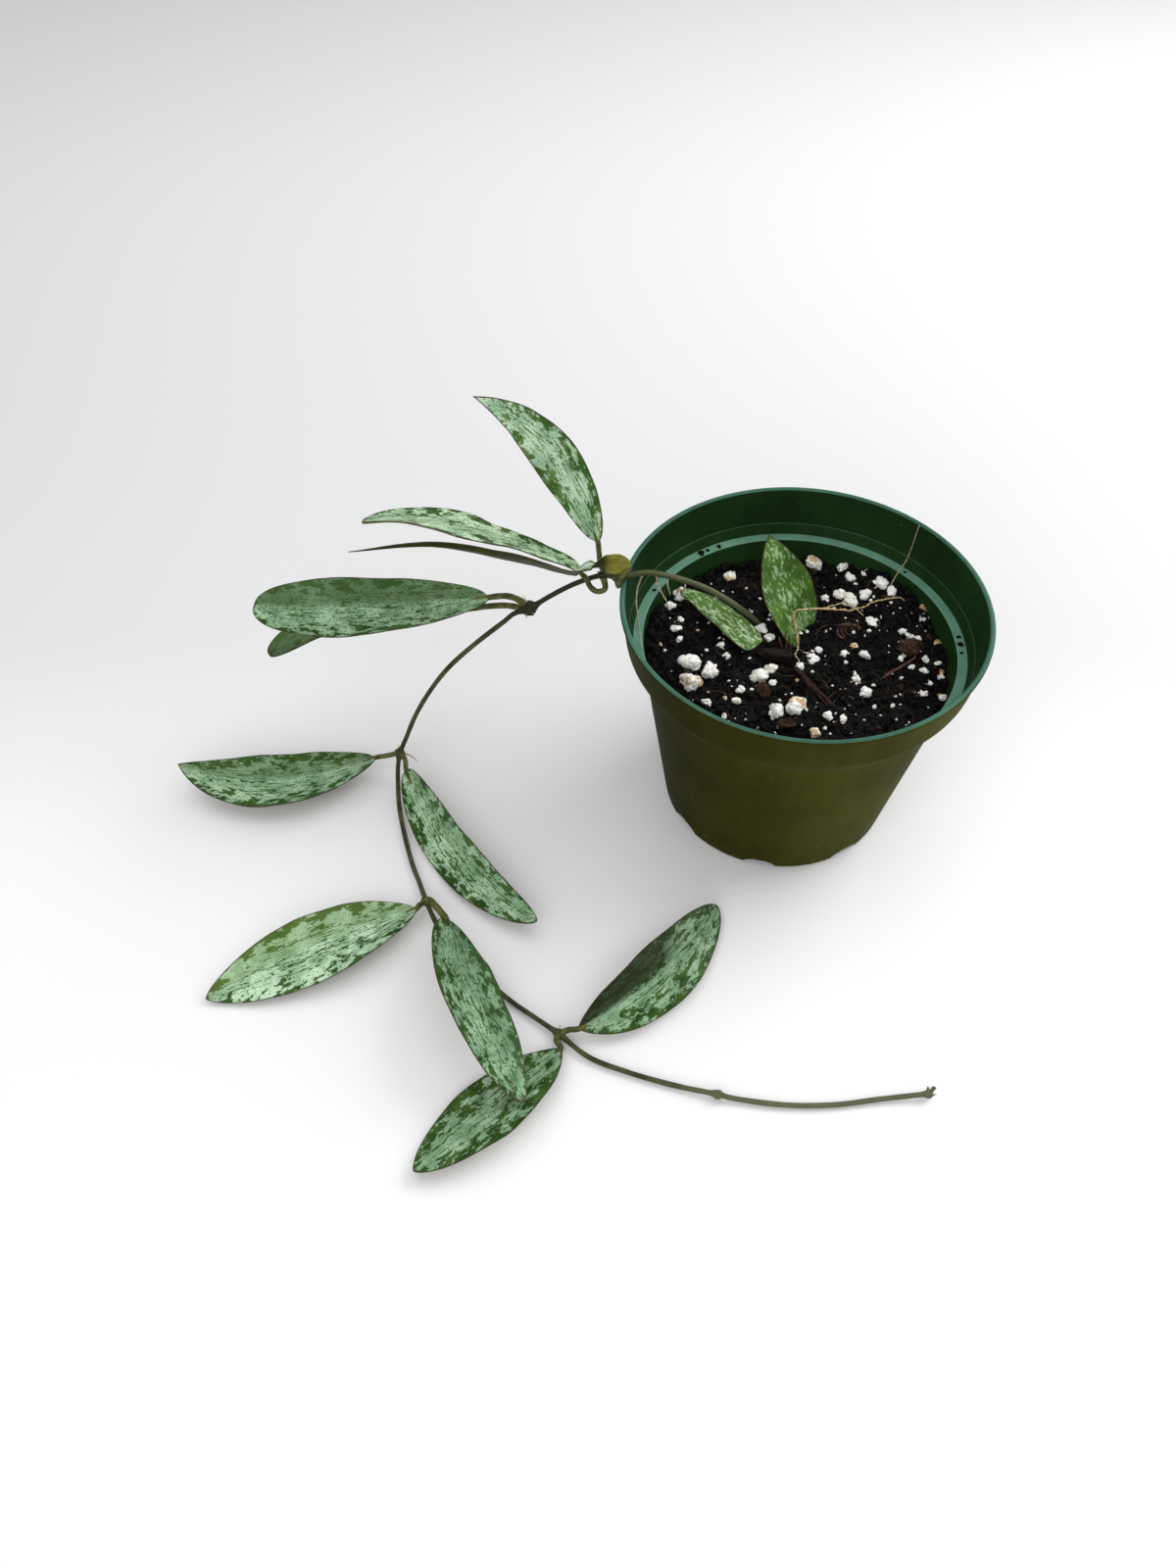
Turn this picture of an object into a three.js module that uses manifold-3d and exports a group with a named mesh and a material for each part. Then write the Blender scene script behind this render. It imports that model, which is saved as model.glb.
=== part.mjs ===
// A potted wax plant: a six-inch nursery pot of potting mix, two leaves standing in it, and one long
// vine that climbs over the rim, comes down beside the pot and lies along the surface.
// Millimetres, +Z up. The origin is the middle of the pot's flat underside.
import * as THREE from 'three';
import { mergeVertices } from 'three/addons/utils/BufferGeometryUtils.js';
import Module from 'manifold-3d';

const wasm = await Module();
wasm.setup();

// ---------------------------------------------------------------------------
// Driving dimensions
// ---------------------------------------------------------------------------
const INCH = 25.4;
const RIM_RADIUS = 3 * INCH;
const POT_HEIGHT = 4.5 * INCH;
const FOOT_RADIUS = 51.9;
const WALL = 1.1;
const FLOOR = 2;
const LIP_WIDTH = 2.2;
const LIP_HEIGHT = 2.9;
const COLLAR_BOTTOM = { r: 73.2, z: 95.6 };
const BODY_TOP = { r: 65.6, z: 85 };
const STEP = { r: 72.2, z: 97, width: 0.5, drop: 0.3 };
const LEDGE = { outer: 70, inner: 65.8, z: 92.2 };
const FOOT_BEVEL = 1;
const LIP_BEVEL = 0.7;
const POT_SIDES = 40;

// Half-round drain notches through the foot of the wall.
const NOTCHES = { count: 8, firstDegrees: -58, width: 15, height: 5, depth: 6, sides: 12 };

// Touching pieces keep this much air between them.
const GAP = 0.3;

const SOIL = { bottom: FLOOR + GAP, level: 82, rings: 8 };
const SOIL_HEAPS = [
  { x: -58, y: 14, spread: 20, height: 6 },
  { x: 46, y: 40, spread: 18, height: 6 },
  { x: -6, y: 12, spread: 16, height: 3 },
  { x: 10, y: -48, spread: 22, height: 4 },
  { x: 7, y: 9, spread: 9, height: -4 },
];
// Two slow waves over the whole top: height, and turns per millimetre along x and y in radians.
const SOIL_WAVES = { cross: { height: 0.9, x: 0.31, y: 0.27 }, slant: { height: 0.6, x: 0.13, y: -0.21 } };

const BLADE = { thickness: 1.2, edgeThickness: 0.72, rows: 12, columns: 4, endHalfWidth: 0.5 };
// Round bars have a number of sides and a step along their length. A stalk ends a little way into
// its blade, given as a share of the blade's length.
const STALK = { radius: 1.25, sides: 5, step: 4, intoBlade: 0.05 };
const STEM = { radius: 1.1, sides: 6, step: 7 };
const STEM_BASE = { radius: 1.3, sides: 6, step: 5 };

// Joints of the vine: centre and radius of each swelling.
const JOINTS = {
  a: { at: [-77, 13, 116.9], r: 2.5 },
  a2: { at: [-83, 13.7, 117], r: 1.9 },
  b: { at: [-114, 17, 95], r: 3.3 },
  c: { at: [-179, 7, 11.5], r: 2.5 },
  d: { at: [-160.5, -73, 4.6], r: 2.2 },
  e: { at: [-101, -137, 3.4], r: 2.4 },
  f: { at: [-38, -163, 2.6], r: 2.1 },
  g: { at: [45.5, -163, 3], r: 1.9 },
};

// The stem between its joints, each stretch a list of points that its middle line passes through.
const STEM_IN_POT = [
  [-7, 19.6, 66], [-10, 19.6, 75], [-13.5, 19.3, 82.2], [-19, 19, 89], [-28, 18.6, 97.5],
  [-39.5, 17.6, 106.2], [-52, 16.8, 112.4], [-64.5, 15.8, 116.2], [-73, 14, 116.1], JOINTS.a.at,
];
const STEM_STRETCHES = [
  [JOINTS.a.at, JOINTS.a2.at],
  [JOINTS.a2.at, [-88, 14.9, 114.2], [-96, 17, 108.4], [-106, 17, 101.6], JOINTS.b.at],
  [JOINTS.b.at, [-120.7, 16, 93.2], [-125.3, 15.3, 89.2], [-139.2, 13.1, 77.2], [-151.6, 11.2, 64.5],
    [-161.1, 9.7, 50.8], [-168.8, 8.6, 36.3], [-175.1, 7.6, 20.8], JOINTS.c.at],
  [JOINTS.c.at, [-179.6, 1, 8], [-179.2, -7, 4.8], [-178, -17, 2.8], [-175.5, -28.5, 2],
    [-169, -50.5, 2], [-164.5, -62, 2.8], JOINTS.d.at],
  [JOINTS.d.at, [-153.5, -86.5, 2.6], [-139, -104, 1.8], [-122, -120.5, 1.8], [-111, -129, 2.2],
    JOINTS.e.at],
  [JOINTS.e.at, [-89, -146.5, 1.9], [-73.5, -153, 1.7], [-54, -159, 1.7], JOINTS.f.at],
  [JOINTS.f.at, [-32, -164.3, 1.9], [-12, -167, 1.6], [7.5, -167, 1.6], [27, -164.6, 1.8], JOINTS.g.at],
];

// Roots that hang from the stem inside the rim, the short root at joint c and the bud at the tip.
const AERIAL_ROOT = { radius: 0.55, sides: 5, step: 3 };
const AERIAL_ROOTS = [
  [[-66, 15.6, 116], [-68.4, 13, 110], [-68.6, 9, 104], [-67.6, 1, 97.5], [-66.5, -6, 93.2]],
  [[-61, 16.2, 115.4], [-59.5, 13.5, 110], [-56, 11.5, 104], [-55, 10.5, 100]],
  [[-56, 16.6, 114], [-55.5, 14.5, 109.5], [-54.5, 13.5, 106]],
  [[-48, 17.3, 111.2], [-48.5, 15.5, 107.5], [-49, 15, 105]],
  [[-35, 18.4, 103.5], [-34.6, 17, 100.5], [-34.4, 16.6, 98.5]],
  [[-179, 7, 11.5], [-174, 6.2, 10.6], [-170.6, 3.4, 9.6]],
];
const TIP_BUD = { radius: 0.8, sides: 5, step: 1, run: [JOINTS.g.at, [47.6, -161.4, 5]] };

// Each leaf: where its stalk starts (a joint, or bare soil) and bends, where the blade begins and
// ends, how far the midrib bows off the straight line (twice the bow at its middle), half of its
// greatest width, how fast it widens from the root and narrows to the tip (0.5 is round, 1 is
// pointed), how far the face is rolled about the midrib at even steps from root to tip, in degrees,
// and how far the sides lift, as a share of the half width. One leaf's midrib winds through points.
const LEAVES = {
  leaf_a1: { joint: 'a2', stalk: [[-82.8, 19.5, 113.6], [-84, 26.5, 113.2]], base: [-85, 29, 122],
    tip: [-133, 37.5, 185.5], bow: [8, 20, 8], half: 10, root: 0.5, point: 1, roll: [-72, -72], cup: 0.12 },
  leaf_a2: { joint: 'a2', stalk: [[-82.1, 11, 111.5], [-85.4, 10.4, 110.8], [-88.2, 11.4, 112.6]],
    base: [-89.9, 13.2, 115.7], tip: [-180, 19, 140],
    through: [[-96.5, 18.8, 118.6], [-108, 18.4, 124.6], [-120, 17.3, 131], [-132, 17.3, 135.6],
      [-144.6, 19, 138.2], [-156.5, 20.1, 140], [-168.1, 20.2, 140.8]],
    half: 11.4, root: 1.05, point: 0.42, roll: [-4, 4, 12, 16, 22, 28], cup: 0.15 },
  leaf_a3: { joint: 'a', stalk: [[-76.6, 8.6, 115.6], [-75.9, 8.2, 119], [-74, 9.5, 121.8]],
    base: [-71.8, 10.2, 123.5], tip: [-190.7, 30.8, 114.7],
    through: [[-76.8, 11.2, 124.5], [-82, 10.4, 124.9], [-88, 10.3, 124.4], [-95.5, 8.9, 121.9],
      [-104, 15.2, 119.2], [-125, 27.3, 115.2], [-155, 32.8, 116.9]],
    half: 6.7, root: 0.38, point: 0.65, roll: [90, 86, 76, 22, 46, 54, 57, 56, 50], cup: 0.08 },
  leaf_b1: { joint: 'b', stalk: [[-118, 20, 96.6], [-124, 26, 94]], base: [-133, 30, 89.6],
    tip: [-233, 19, 95], bow: [-10, -16, 3.4], half: 15, root: 0.5, point: 0.5, roll: [0, -25],
    cup: 0.25 },
  leaf_b2: { joint: 'b', stalk: [[-118, 20.4, 92.4], [-125, 26.4, 88.2], [-134, 30.4, 84]],
    base: [-143, 31, 82], tip: [-234, 23, 61], bow: [-2, 24, 6], half: 12.3, root: 0.5, point: 0.4,
    roll: [0, 10], cup: 0.15 },
  leaf_c1: { joint: 'c', stalk: [[-184.5, 5.8, 11]], base: [-191, 6, 9], tip: [-283, -0.5, 12],
    bow: [-2.5, -25, -3.5], half: 15, root: 0.55, point: 0.85, roll: [18, -30], cup: 0.2 },
  leaf_c2: { joint: 'c', stalk: [[-176, 2.5, 12]], base: [-175, -3, 10.5], tip: [-111, -87, 10],
    bow: [-7, -16, -9], half: 10.5, root: 0.45, point: 0.6, roll: [40, 20], cup: 0.2 },
  leaf_d1: { joint: 'd', stalk: [[-162.8, -76.8, 7]], base: [-163.8, -79.4, 8], tip: [-248.6, -120.6, 2.6],
    bow: [6, 0.5, 7], half: 16, root: 0.6, point: 0.75, roll: [24, -35], cup: 0.15 },
  leaf_d2: { joint: 'd', stalk: [[-158, -75.5, 8.4]], base: [-150.5, -85, 8.8], tip: [-114, -172, 15],
    bow: [-8.5, -3, 20], half: 13, root: 0.6, point: 0.6, roll: [-35, -20], cup: 0.2 },
  leaf_e1: { joint: 'e', stalk: [[-97, -136, 4.8]], base: [-93, -136.2, 6], tip: [-32, -75.8, 4.5],
    bow: [1, -23, 16], half: 14.3, root: 0.8, point: 0.65, roll: [45, 45], cup: 0.2 },
  leaf_e2: { joint: 'e', stalk: [[-102, -140.6, 4.8]], base: [-100, -143.8, 4], tip: [-155, -195.2, 5],
    bow: [6.5, 0.5, 4], half: 15, root: 0.8, point: 0.7, roll: [18, 18], cup: 0.12 },
  pot_leaf_standing: { joint: null, stalk: [], base: [5.5, 12, 75.5], tip: [-12.2, 38, 118],
    bow: [-0.3, -4, 4], half: 13, root: 0.58, point: 0.94, roll: [18, -25], cup: 0.18 },
  pot_leaf_lying: { joint: null, stalk: [], base: [-17.6, 2.6, 86.2], tip: [-48, 36, 88.5],
    bow: [-0.5, 1.5, 5], half: 6.2, root: 0.14, point: 0.5, roll: [-5, -10], cup: 0.15 },
};
const LEAF_WAVE = { height: 0.5, perLeaf: 2.5 };

// The tan root over the mix, its branch, and the hair root that rises to the rim.
const SURFACE_ROOT = {
  radius: 0.85,
  branchRadius: 0.68,
  sides: 6,
  step: 3.5,
  run: [[1.4, 3.4, 74], [1.2, 4.6, 81], [1.1, 6.4, 86], [0.2, 9, 90], [-0.8, 12.4, 94], [-0.2, 14.2, 96],
    [3.4, 15.2, 96.2], [11.6, 17.6, 94.4], [19.9, 20.6, 91], [28.2, 23.8, 88.8], [40.3, 29.4, 88.6],
    [49.1, 30.5, 88.2], [52.5, 31, 83]],
  branch: [[11.6, 17.6, 94.4], [17.6, 22.6, 91.4], [24, 28.6, 88.2], [26.5, 30.5, 84]],
};
const ROOT_HAIR = {
  radius: 0.45,
  sides: 5,
  step: 4,
  run: [[44, 38, 80], [45, 38.5, 87], [48, 41.8, 92.5], [51.5, 44.8, 97.5], [53.3, 47.3, 103.5],
    [54.2, 48.3, 111.5]],
};

// Bark and fibre on the mix: middle, length, width, height, turn about +Z and tilt, in degrees.
const BITS = {
  bark_log: { at: [-9.5, -1.5, 85.6], size: [17, 5.5, 5], turn: -8, tilt: 4, color: 0x1a1310 },
  bark_red: { at: [-16, -21, 84.5], size: [5.5, 8.5, 3], turn: 10, tilt: -12, color: 0x5a3324 },
  bark_brown: { at: [-9, -42, 86.8], size: [8, 5, 2.6], turn: 15, tilt: 8, color: 0x4a3222 },
  bark_strip: { at: [5, -20, 84.6], size: [27, 3, 2.4], turn: -59, tilt: 3, color: 0x3c2415 },
  fibre_lump: { at: [49.5, 4, 84.6], size: [9, 8, 5], turn: 30, tilt: 0, color: 0x4c3020 },
  twig: { at: [42, -9, 85.2], size: [20, 1.7, 1.7], turn: 36, tilt: -5, color: 0x6b4a34 },
};

const BIT_SHAPE = { sides: 8, taper: 0.84 };

// White perlite: the biggest grains where they lie (x, y, diameter), the rest strewn by a seeded rule.
// Each is a rough ball, flattened, tilted by up to some radians and lifted by a share of its diameter.
const GRAIN = { narrowest: 0.8, widest: 1.2, flattest: 0.7, tallest: 0.9, tilt: 0.8, lift: 0.12 };
const BIG_GRAINS = [
  [14, 57, 6], [-25, 50, 5], [27, 54, 5], [37, 50, 4.5], [-47, 38, 7], [-53, 29, 4.5], [29, 37, 6.5],
  [43, 43, 5.5], [36, 21, 5], [7, -2, 5.5], [-45, -5, 9], [-38, -9, 7.5], [-46, -17, 9.5],
  [-17, -12, 7], [-10, -9, 5.5], [27, -22, 6], [-4, -30, 10], [-12, -33, 7], [3, -47, 5.5], [9, -38, 4.5],
];
const SMALL_GRAINS = { count: 34, smallest: 2.4, largest: 4.2, apart: 1.5, fromWall: 5, tries: 2000 };
const SEED = 20417;

const MATERIALS = {
  pot: { color: 0x2f4d33, roughness: 0.45 },
  soil: { color: 0x1d1612, roughness: 1 },
  stem: { color: 0x515a41, roughness: 0.7 },
  leaf: { color: 0x6f9c74, roughness: 0.45 },
  potLeaf: { color: 0x4f7a34, roughness: 0.5 },
  root: { color: 0xb08a56, roughness: 0.8 },
};

// ---------------------------------------------------------------------------
// Meshes and solids
// ---------------------------------------------------------------------------
const vec = (p) => new THREE.Vector3(...p);
const radians = THREE.MathUtils.degToRad;
const smoothCurve = (points) => new THREE.CatmullRomCurve3(points.map(vec), false, 'centripetal');

function makeRandom(seed) {
  let state = seed;
  return () => {
    state = (state * 1664525 + 1013904223) % 4294967296;
    return state / 4294967296;
  };
}

// Weld a geometry's vertices, drop the triangles that collapse, and make a solid of it.
function solidOf(geometry) {
  geometry.deleteAttribute('normal');
  geometry.deleteAttribute('uv');
  const welded = mergeVertices(geometry, 1e-4);
  const index = welded.index.array;
  const kept = [];
  for (let i = 0; i < index.length; i += 3) {
    const [a, b, c] = [index[i], index[i + 1], index[i + 2]];
    if (a !== b && b !== c && c !== a) kept.push(a, b, c);
  }
  const mesh = new wasm.Mesh({
    numProp: 3,
    vertProperties: new Float32Array(welded.attributes.position.array),
    triVerts: new Uint32Array(kept),
  });
  return new wasm.Manifold(mesh);
}

function geometryOf(solid) {
  const mesh = solid.getMesh();
  const geometry = new THREE.BufferGeometry();
  geometry.setAttribute('position', new THREE.BufferAttribute(new Float32Array(mesh.vertProperties), 3));
  geometry.setIndex(new THREE.BufferAttribute(new Uint32Array(mesh.triVerts), 1));
  geometry.computeVertexNormals();
  return geometry;
}

function polygon(radius, sides) {
  const shape = new THREE.Shape();
  for (let i = 0; i < sides; i += 1) {
    const angle = (i / sides) * 2 * Math.PI;
    const [x, y] = [radius * Math.cos(angle), radius * Math.sin(angle)];
    if (i === 0) shape.moveTo(x, y);
    else shape.lineTo(x, y);
  }
  shape.closePath();
  return shape;
}

// A round bar along a smooth curve through the points.
function tube(points, { radius, sides, step }, grow = 0) {
  const curve = smoothCurve(points);
  const steps = Math.max(2, Math.round(curve.getLength() / step));
  return solidOf(new THREE.ExtrudeGeometry(polygon(radius + grow, sides), { steps, extrudePath: curve }));
}

function ball(center, radius, detail = 1) {
  const geometry = new THREE.IcosahedronGeometry(radius, detail);
  geometry.translate(...center);
  return solidOf(geometry);
}

function joined(solids) {
  return solids.reduce((sum, next) => sum.add(next));
}

// The room a buried piece needs in the mix: its grown copy, and the same again under its lower end.
function sunk(grown) {
  return grown.add(grown.translate(0, 0, -GAP));
}

// What a cut leaves loose is dropped.
function largestBody(solid) {
  return solid.decompose().reduce((best, next) => (next.volume() > best.volume() ? next : best));
}

// A solid of revolution about +Z from (radius, height) pairs, listed from the bottom's middle
// round the outside and back to the axis.
function turned(profile) {
  const points = profile.map(([r, z]) => new THREE.Vector2(r, z));
  const geometry = new THREE.LatheGeometry(points, POT_SIDES);
  geometry.rotateX(Math.PI / 2);
  return geometry;
}

// ---------------------------------------------------------------------------
// Pot
// ---------------------------------------------------------------------------
const INNER_FOOT_RADIUS = FOOT_RADIUS - 0.8 * WALL;

// Radius of the pot's inner wall below the ledge.
function innerRadius(z) {
  const share = (z - FLOOR) / (LEDGE.z - FLOOR);
  return INNER_FOOT_RADIUS + share * (LEDGE.inner - INNER_FOOT_RADIUS);
}

function makePot() {
  const lipBottom = POT_HEIGHT - LIP_HEIGHT;
  const mouth = RIM_RADIUS - LIP_WIDTH;
  const profile = [
    [0, 0], [FOOT_RADIUS - FOOT_BEVEL, 0], [FOOT_RADIUS, FOOT_BEVEL], [BODY_TOP.r, BODY_TOP.z],
    [COLLAR_BOTTOM.r, COLLAR_BOTTOM.z], [RIM_RADIUS - 1, lipBottom], [RIM_RADIUS, lipBottom + LIP_BEVEL],
    [RIM_RADIUS, POT_HEIGHT - LIP_BEVEL], [RIM_RADIUS - LIP_BEVEL, POT_HEIGHT],
    [mouth + LIP_BEVEL, POT_HEIGHT], [mouth, POT_HEIGHT - LIP_BEVEL],
    [STEP.r, STEP.z], [STEP.r - STEP.width, STEP.z - STEP.drop],
    [LEDGE.outer, LEDGE.z], [LEDGE.inner, LEDGE.z], [INNER_FOOT_RADIUS, FLOOR], [0, FLOOR],
  ];
  const cutters = [];
  for (let i = 0; i < NOTCHES.count; i += 1) {
    const notch = new THREE.CylinderGeometry(1, 1, 2 * NOTCHES.depth, NOTCHES.sides);
    notch.rotateZ(Math.PI / 2);
    notch.scale(1, NOTCHES.width / 2, NOTCHES.height);
    notch.translate(FOOT_RADIUS, 0, 0);
    notch.rotateZ(radians(NOTCHES.firstDegrees + (i * 360) / NOTCHES.count));
    cutters.push(solidOf(notch));
  }
  return solidOf(turned(profile)).subtract(joined(cutters));
}

// ---------------------------------------------------------------------------
// Potting mix
// ---------------------------------------------------------------------------
function soilHeight(x, y) {
  let height = SOIL.level;
  for (const heap of SOIL_HEAPS) {
    const distance = Math.hypot(x - heap.x, y - heap.y) / heap.spread;
    height += heap.height * Math.exp(-distance * distance);
  }
  const { cross, slant } = SOIL_WAVES;
  height += cross.height * Math.sin(x * cross.x + 1) * Math.sin(y * cross.y + 2);
  return height + slant.height * Math.sin(x * slant.x + y * slant.y);
}

function makeSoilBody() {
  const top = innerRadius(SOIL.level) - GAP;
  const profile = [[0, SOIL.bottom], [innerRadius(SOIL.bottom) - GAP, SOIL.bottom]];
  for (let i = SOIL.rings; i >= 0; i -= 1) profile.push([(top * i) / SOIL.rings, SOIL.level]);
  const geometry = turned(profile);
  const position = geometry.attributes.position;
  for (let i = 0; i < position.count; i += 1) {
    if (position.getZ(i) < SOIL.level - 1) continue;
    let [x, y] = [position.getX(i), position.getY(i)];
    const height = soilHeight(x, y);
    if (Math.hypot(x, y) > top - 0.01) {
      const stretch = (innerRadius(height) - GAP) / top;
      [x, y] = [x * stretch, y * stretch];
    }
    position.setXYZ(i, x, y, height);
  }
  return solidOf(geometry);
}

// One rough grain, sunk by about a third into the mix.
function grain(x, y, diameter, random) {
  const geometry = new THREE.IcosahedronGeometry(diameter / 2, 0);
  const across = () => THREE.MathUtils.lerp(GRAIN.narrowest, GRAIN.widest, random());
  geometry.scale(across(), across(), THREE.MathUtils.lerp(GRAIN.flattest, GRAIN.tallest, random()));
  geometry.rotateZ(random() * Math.PI);
  geometry.rotateX(random() * GRAIN.tilt);
  geometry.translate(x, y, soilHeight(x, y) + diameter * GRAIN.lift);
  return solidOf(geometry);
}

function grainPlaces(random) {
  const places = BIG_GRAINS.map((place) => [...place]);
  const { count, smallest, largest, apart, fromWall, tries } = SMALL_GRAINS;
  const limit = innerRadius(SOIL.level) - fromWall;
  for (let i = 0; i < tries && places.length < BIG_GRAINS.length + count; i += 1) {
    const angle = random() * 2 * Math.PI;
    const distance = limit * Math.sqrt(random());
    const size = THREE.MathUtils.lerp(smallest, largest, random() ** 2);
    const [x, y] = [distance * Math.cos(angle), distance * Math.sin(angle)];
    const isFree = places.every(([px, py, d]) => Math.hypot(px - x, py - y) > (d + size) / 2 + apart);
    if (isFree) places.push([x, y, size]);
  }
  return places;
}

function makePottingMix(buried) {
  const random = makeRandom(SEED);
  const grains = grainPlaces(random).map(([x, y, size]) => grain(x, y, size, random));
  const mix = makeSoilBody().add(joined(grains));
  return largestBody(mix.subtract(joined(buried)));
}

// ---------------------------------------------------------------------------
// Leaves
// ---------------------------------------------------------------------------
function midribOf(leaf) {
  const [base, tip] = [vec(leaf.base), vec(leaf.tip)];
  if (leaf.through) return smoothCurve([leaf.base, ...leaf.through, leaf.tip]);
  const middle = base.clone().add(tip).multiplyScalar(0.5).add(vec(leaf.bow));
  return new THREE.QuadraticBezierCurve3(base, middle, tip);
}

// Half the blade's width at a share of its length, 0 at the root and 1 at the tip.
function halfWidth(leaf, share) {
  const { root, point } = leaf;
  const peak = root / (root + point);
  const rise = (share / peak) ** root;
  const fall = ((1 - share) / (1 - peak)) ** point;
  return Math.max(leaf.half * rise * fall, BLADE.endHalfWidth);
}

function rollAt({ roll }, share) {
  const place = share * (roll.length - 1);
  const before = Math.min(Math.floor(place), roll.length - 2);
  return radians(THREE.MathUtils.lerp(roll[before], roll[before + 1], place - before));
}

// A point of the blade: across is -1 at one edge and 1 at the other, side is 1 on the upper face.
function bladePoint(leaf, midrib, share, across, side, grow) {
  const along = midrib.getTangent(share);
  const flat = new THREE.Vector3(0, 0, 1).cross(along).normalize();
  const level = new THREE.Vector3().crossVectors(along, flat);
  const roll = rollAt(leaf, share);
  const sideways = flat.clone().multiplyScalar(Math.cos(roll)).addScaledVector(level, Math.sin(roll));
  const up = new THREE.Vector3().crossVectors(along, sideways);
  const half = halfWidth(leaf, share);
  const wave = Math.sin(share * LEAF_WAVE.perLeaf * 2 * Math.PI + 2 * across) * across * across;
  const lift = leaf.cup * half * across * across + LEAF_WAVE.height * wave * Math.sin(Math.PI * share);
  const thickness = THREE.MathUtils.lerp(BLADE.thickness, BLADE.edgeThickness, across * across);
  return midrib.getPoint(share)
    .addScaledVector(sideways, across * (half + grow))
    .addScaledVector(up, lift + side * (thickness / 2 + grow));
}

// The blade as one closed loft: a grid for each face, split alike, and a thin wall round the edge.
function makeBlade(leaf, grow = 0) {
  const midrib = midribOf(leaf);
  const { rows, columns } = BLADE;
  const positions = [];
  for (const side of [1, -1]) {
    for (let i = 0; i <= rows; i += 1) {
      const share = 0.5 - 0.5 * Math.cos((Math.PI * i) / rows);
      for (let j = 0; j <= columns; j += 1) {
        positions.push(...bladePoint(leaf, midrib, share, (2 * j) / columns - 1, side, grow).toArray());
      }
    }
  }
  const width = columns + 1;
  const lower = (rows + 1) * width;
  const index = [];
  const quad = (a, b, c, d) => index.push(a, b, c, a, c, d);
  for (let i = 0; i < rows; i += 1) {
    for (let j = 0; j < columns; j += 1) {
      const a = i * width + j;
      quad(a, a + width, a + width + 1, a + 1);
      index.push(lower + a, lower + a + width + 1, lower + a + width);
      index.push(lower + a, lower + a + 1, lower + a + width + 1);
    }
    const left = i * width;
    const right = left + columns;
    quad(left, lower + left, lower + left + width, left + width);
    quad(right, right + width, lower + right + width, lower + right);
  }
  for (let j = 0; j < columns; j += 1) {
    const end = rows * width + j;
    quad(j, j + 1, lower + j + 1, lower + j);
    quad(end, lower + end, lower + end + 1, end + 1);
  }
  const geometry = new THREE.BufferGeometry();
  geometry.setAttribute('position', new THREE.BufferAttribute(new Float32Array(positions), 3));
  geometry.setIndex(index);
  const turnedRight = isLeftHanded(geometry) ? flipped(geometry) : geometry;
  return solidOf(turnedRight);
}

function signedVolume(geometry) {
  const position = geometry.attributes.position;
  const index = geometry.index.array;
  const [a, b, c] = [new THREE.Vector3(), new THREE.Vector3(), new THREE.Vector3()];
  let total = 0;
  for (let i = 0; i < index.length; i += 3) {
    a.fromBufferAttribute(position, index[i]);
    b.fromBufferAttribute(position, index[i + 1]);
    c.fromBufferAttribute(position, index[i + 2]);
    total += a.dot(b.cross(c)) / 6;
  }
  return total;
}

const isLeftHanded = (geometry) => signedVolume(geometry) < 0;

function flipped(geometry) {
  const index = Array.from(geometry.index.array);
  for (let i = 0; i < index.length; i += 3) [index[i + 1], index[i + 2]] = [index[i + 2], index[i + 1]];
  geometry.setIndex(index);
  return geometry;
}

// Blade and stalk in one, cut clear of the joint it grows from.
function makeLeaf(leaf) {
  const blade = makeBlade(leaf);
  if (!leaf.joint) return blade;
  const joint = JOINTS[leaf.joint];
  const end = midribOf(leaf).getPoint(STALK.intoBlade).toArray();
  const stalk = tube([joint.at, ...leaf.stalk, leaf.base, end], STALK);
  return blade.add(stalk).subtract(ball(joint.at, joint.r + GAP));
}

// ---------------------------------------------------------------------------
// Stem, roots and loose bits
// ---------------------------------------------------------------------------
function makeStem() {
  const parts = [tube(STEM_IN_POT, STEM_BASE)];
  for (const stretch of STEM_STRETCHES) parts.push(tube(stretch, STEM));
  for (const { at, r } of Object.values(JOINTS)) parts.push(ball(at, r));
  for (const root of AERIAL_ROOTS) parts.push(tube(root, AERIAL_ROOT));
  parts.push(tube(TIP_BUD.run, TIP_BUD));
  return joined(parts);
}

function makeBit({ at, size, turn, tilt }, grow = 0) {
  const [length, width, height] = size.map((side) => side + 2 * grow);
  const geometry = new THREE.CylinderGeometry(0.5, 0.5 * BIT_SHAPE.taper, 1, BIT_SHAPE.sides);
  geometry.rotateZ(Math.PI / 2);
  geometry.scale(length, width, height);
  geometry.rotateY(radians(tilt));
  geometry.rotateZ(radians(turn));
  geometry.translate(...at);
  return solidOf(geometry);
}

function makeSurfaceRoot(grow = 0) {
  const branch = tube(SURFACE_ROOT.branch, { ...SURFACE_ROOT, radius: SURFACE_ROOT.branchRadius }, grow);
  return tube(SURFACE_ROOT.run, SURFACE_ROOT, grow).add(branch);
}

// ---------------------------------------------------------------------------
// The plant
// ---------------------------------------------------------------------------
const plant = new THREE.Group();

function addPart(name, solid, look) {
  const material = new THREE.MeshStandardMaterial({ metalness: 0, ...look });
  const mesh = new THREE.Mesh(geometryOf(solid), material);
  mesh.name = name;
  plant.add(mesh);
}

const holes = [
  tube(STEM_IN_POT, STEM_BASE, GAP),
  makeSurfaceRoot(GAP),
  tube(ROOT_HAIR.run, ROOT_HAIR, GAP),
  makeBlade(LEAVES.pot_leaf_standing, GAP),
  makeBlade(LEAVES.pot_leaf_lying, GAP),
  ...Object.values(BITS).map((bit) => makeBit(bit, GAP)),
].map(sunk);

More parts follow.
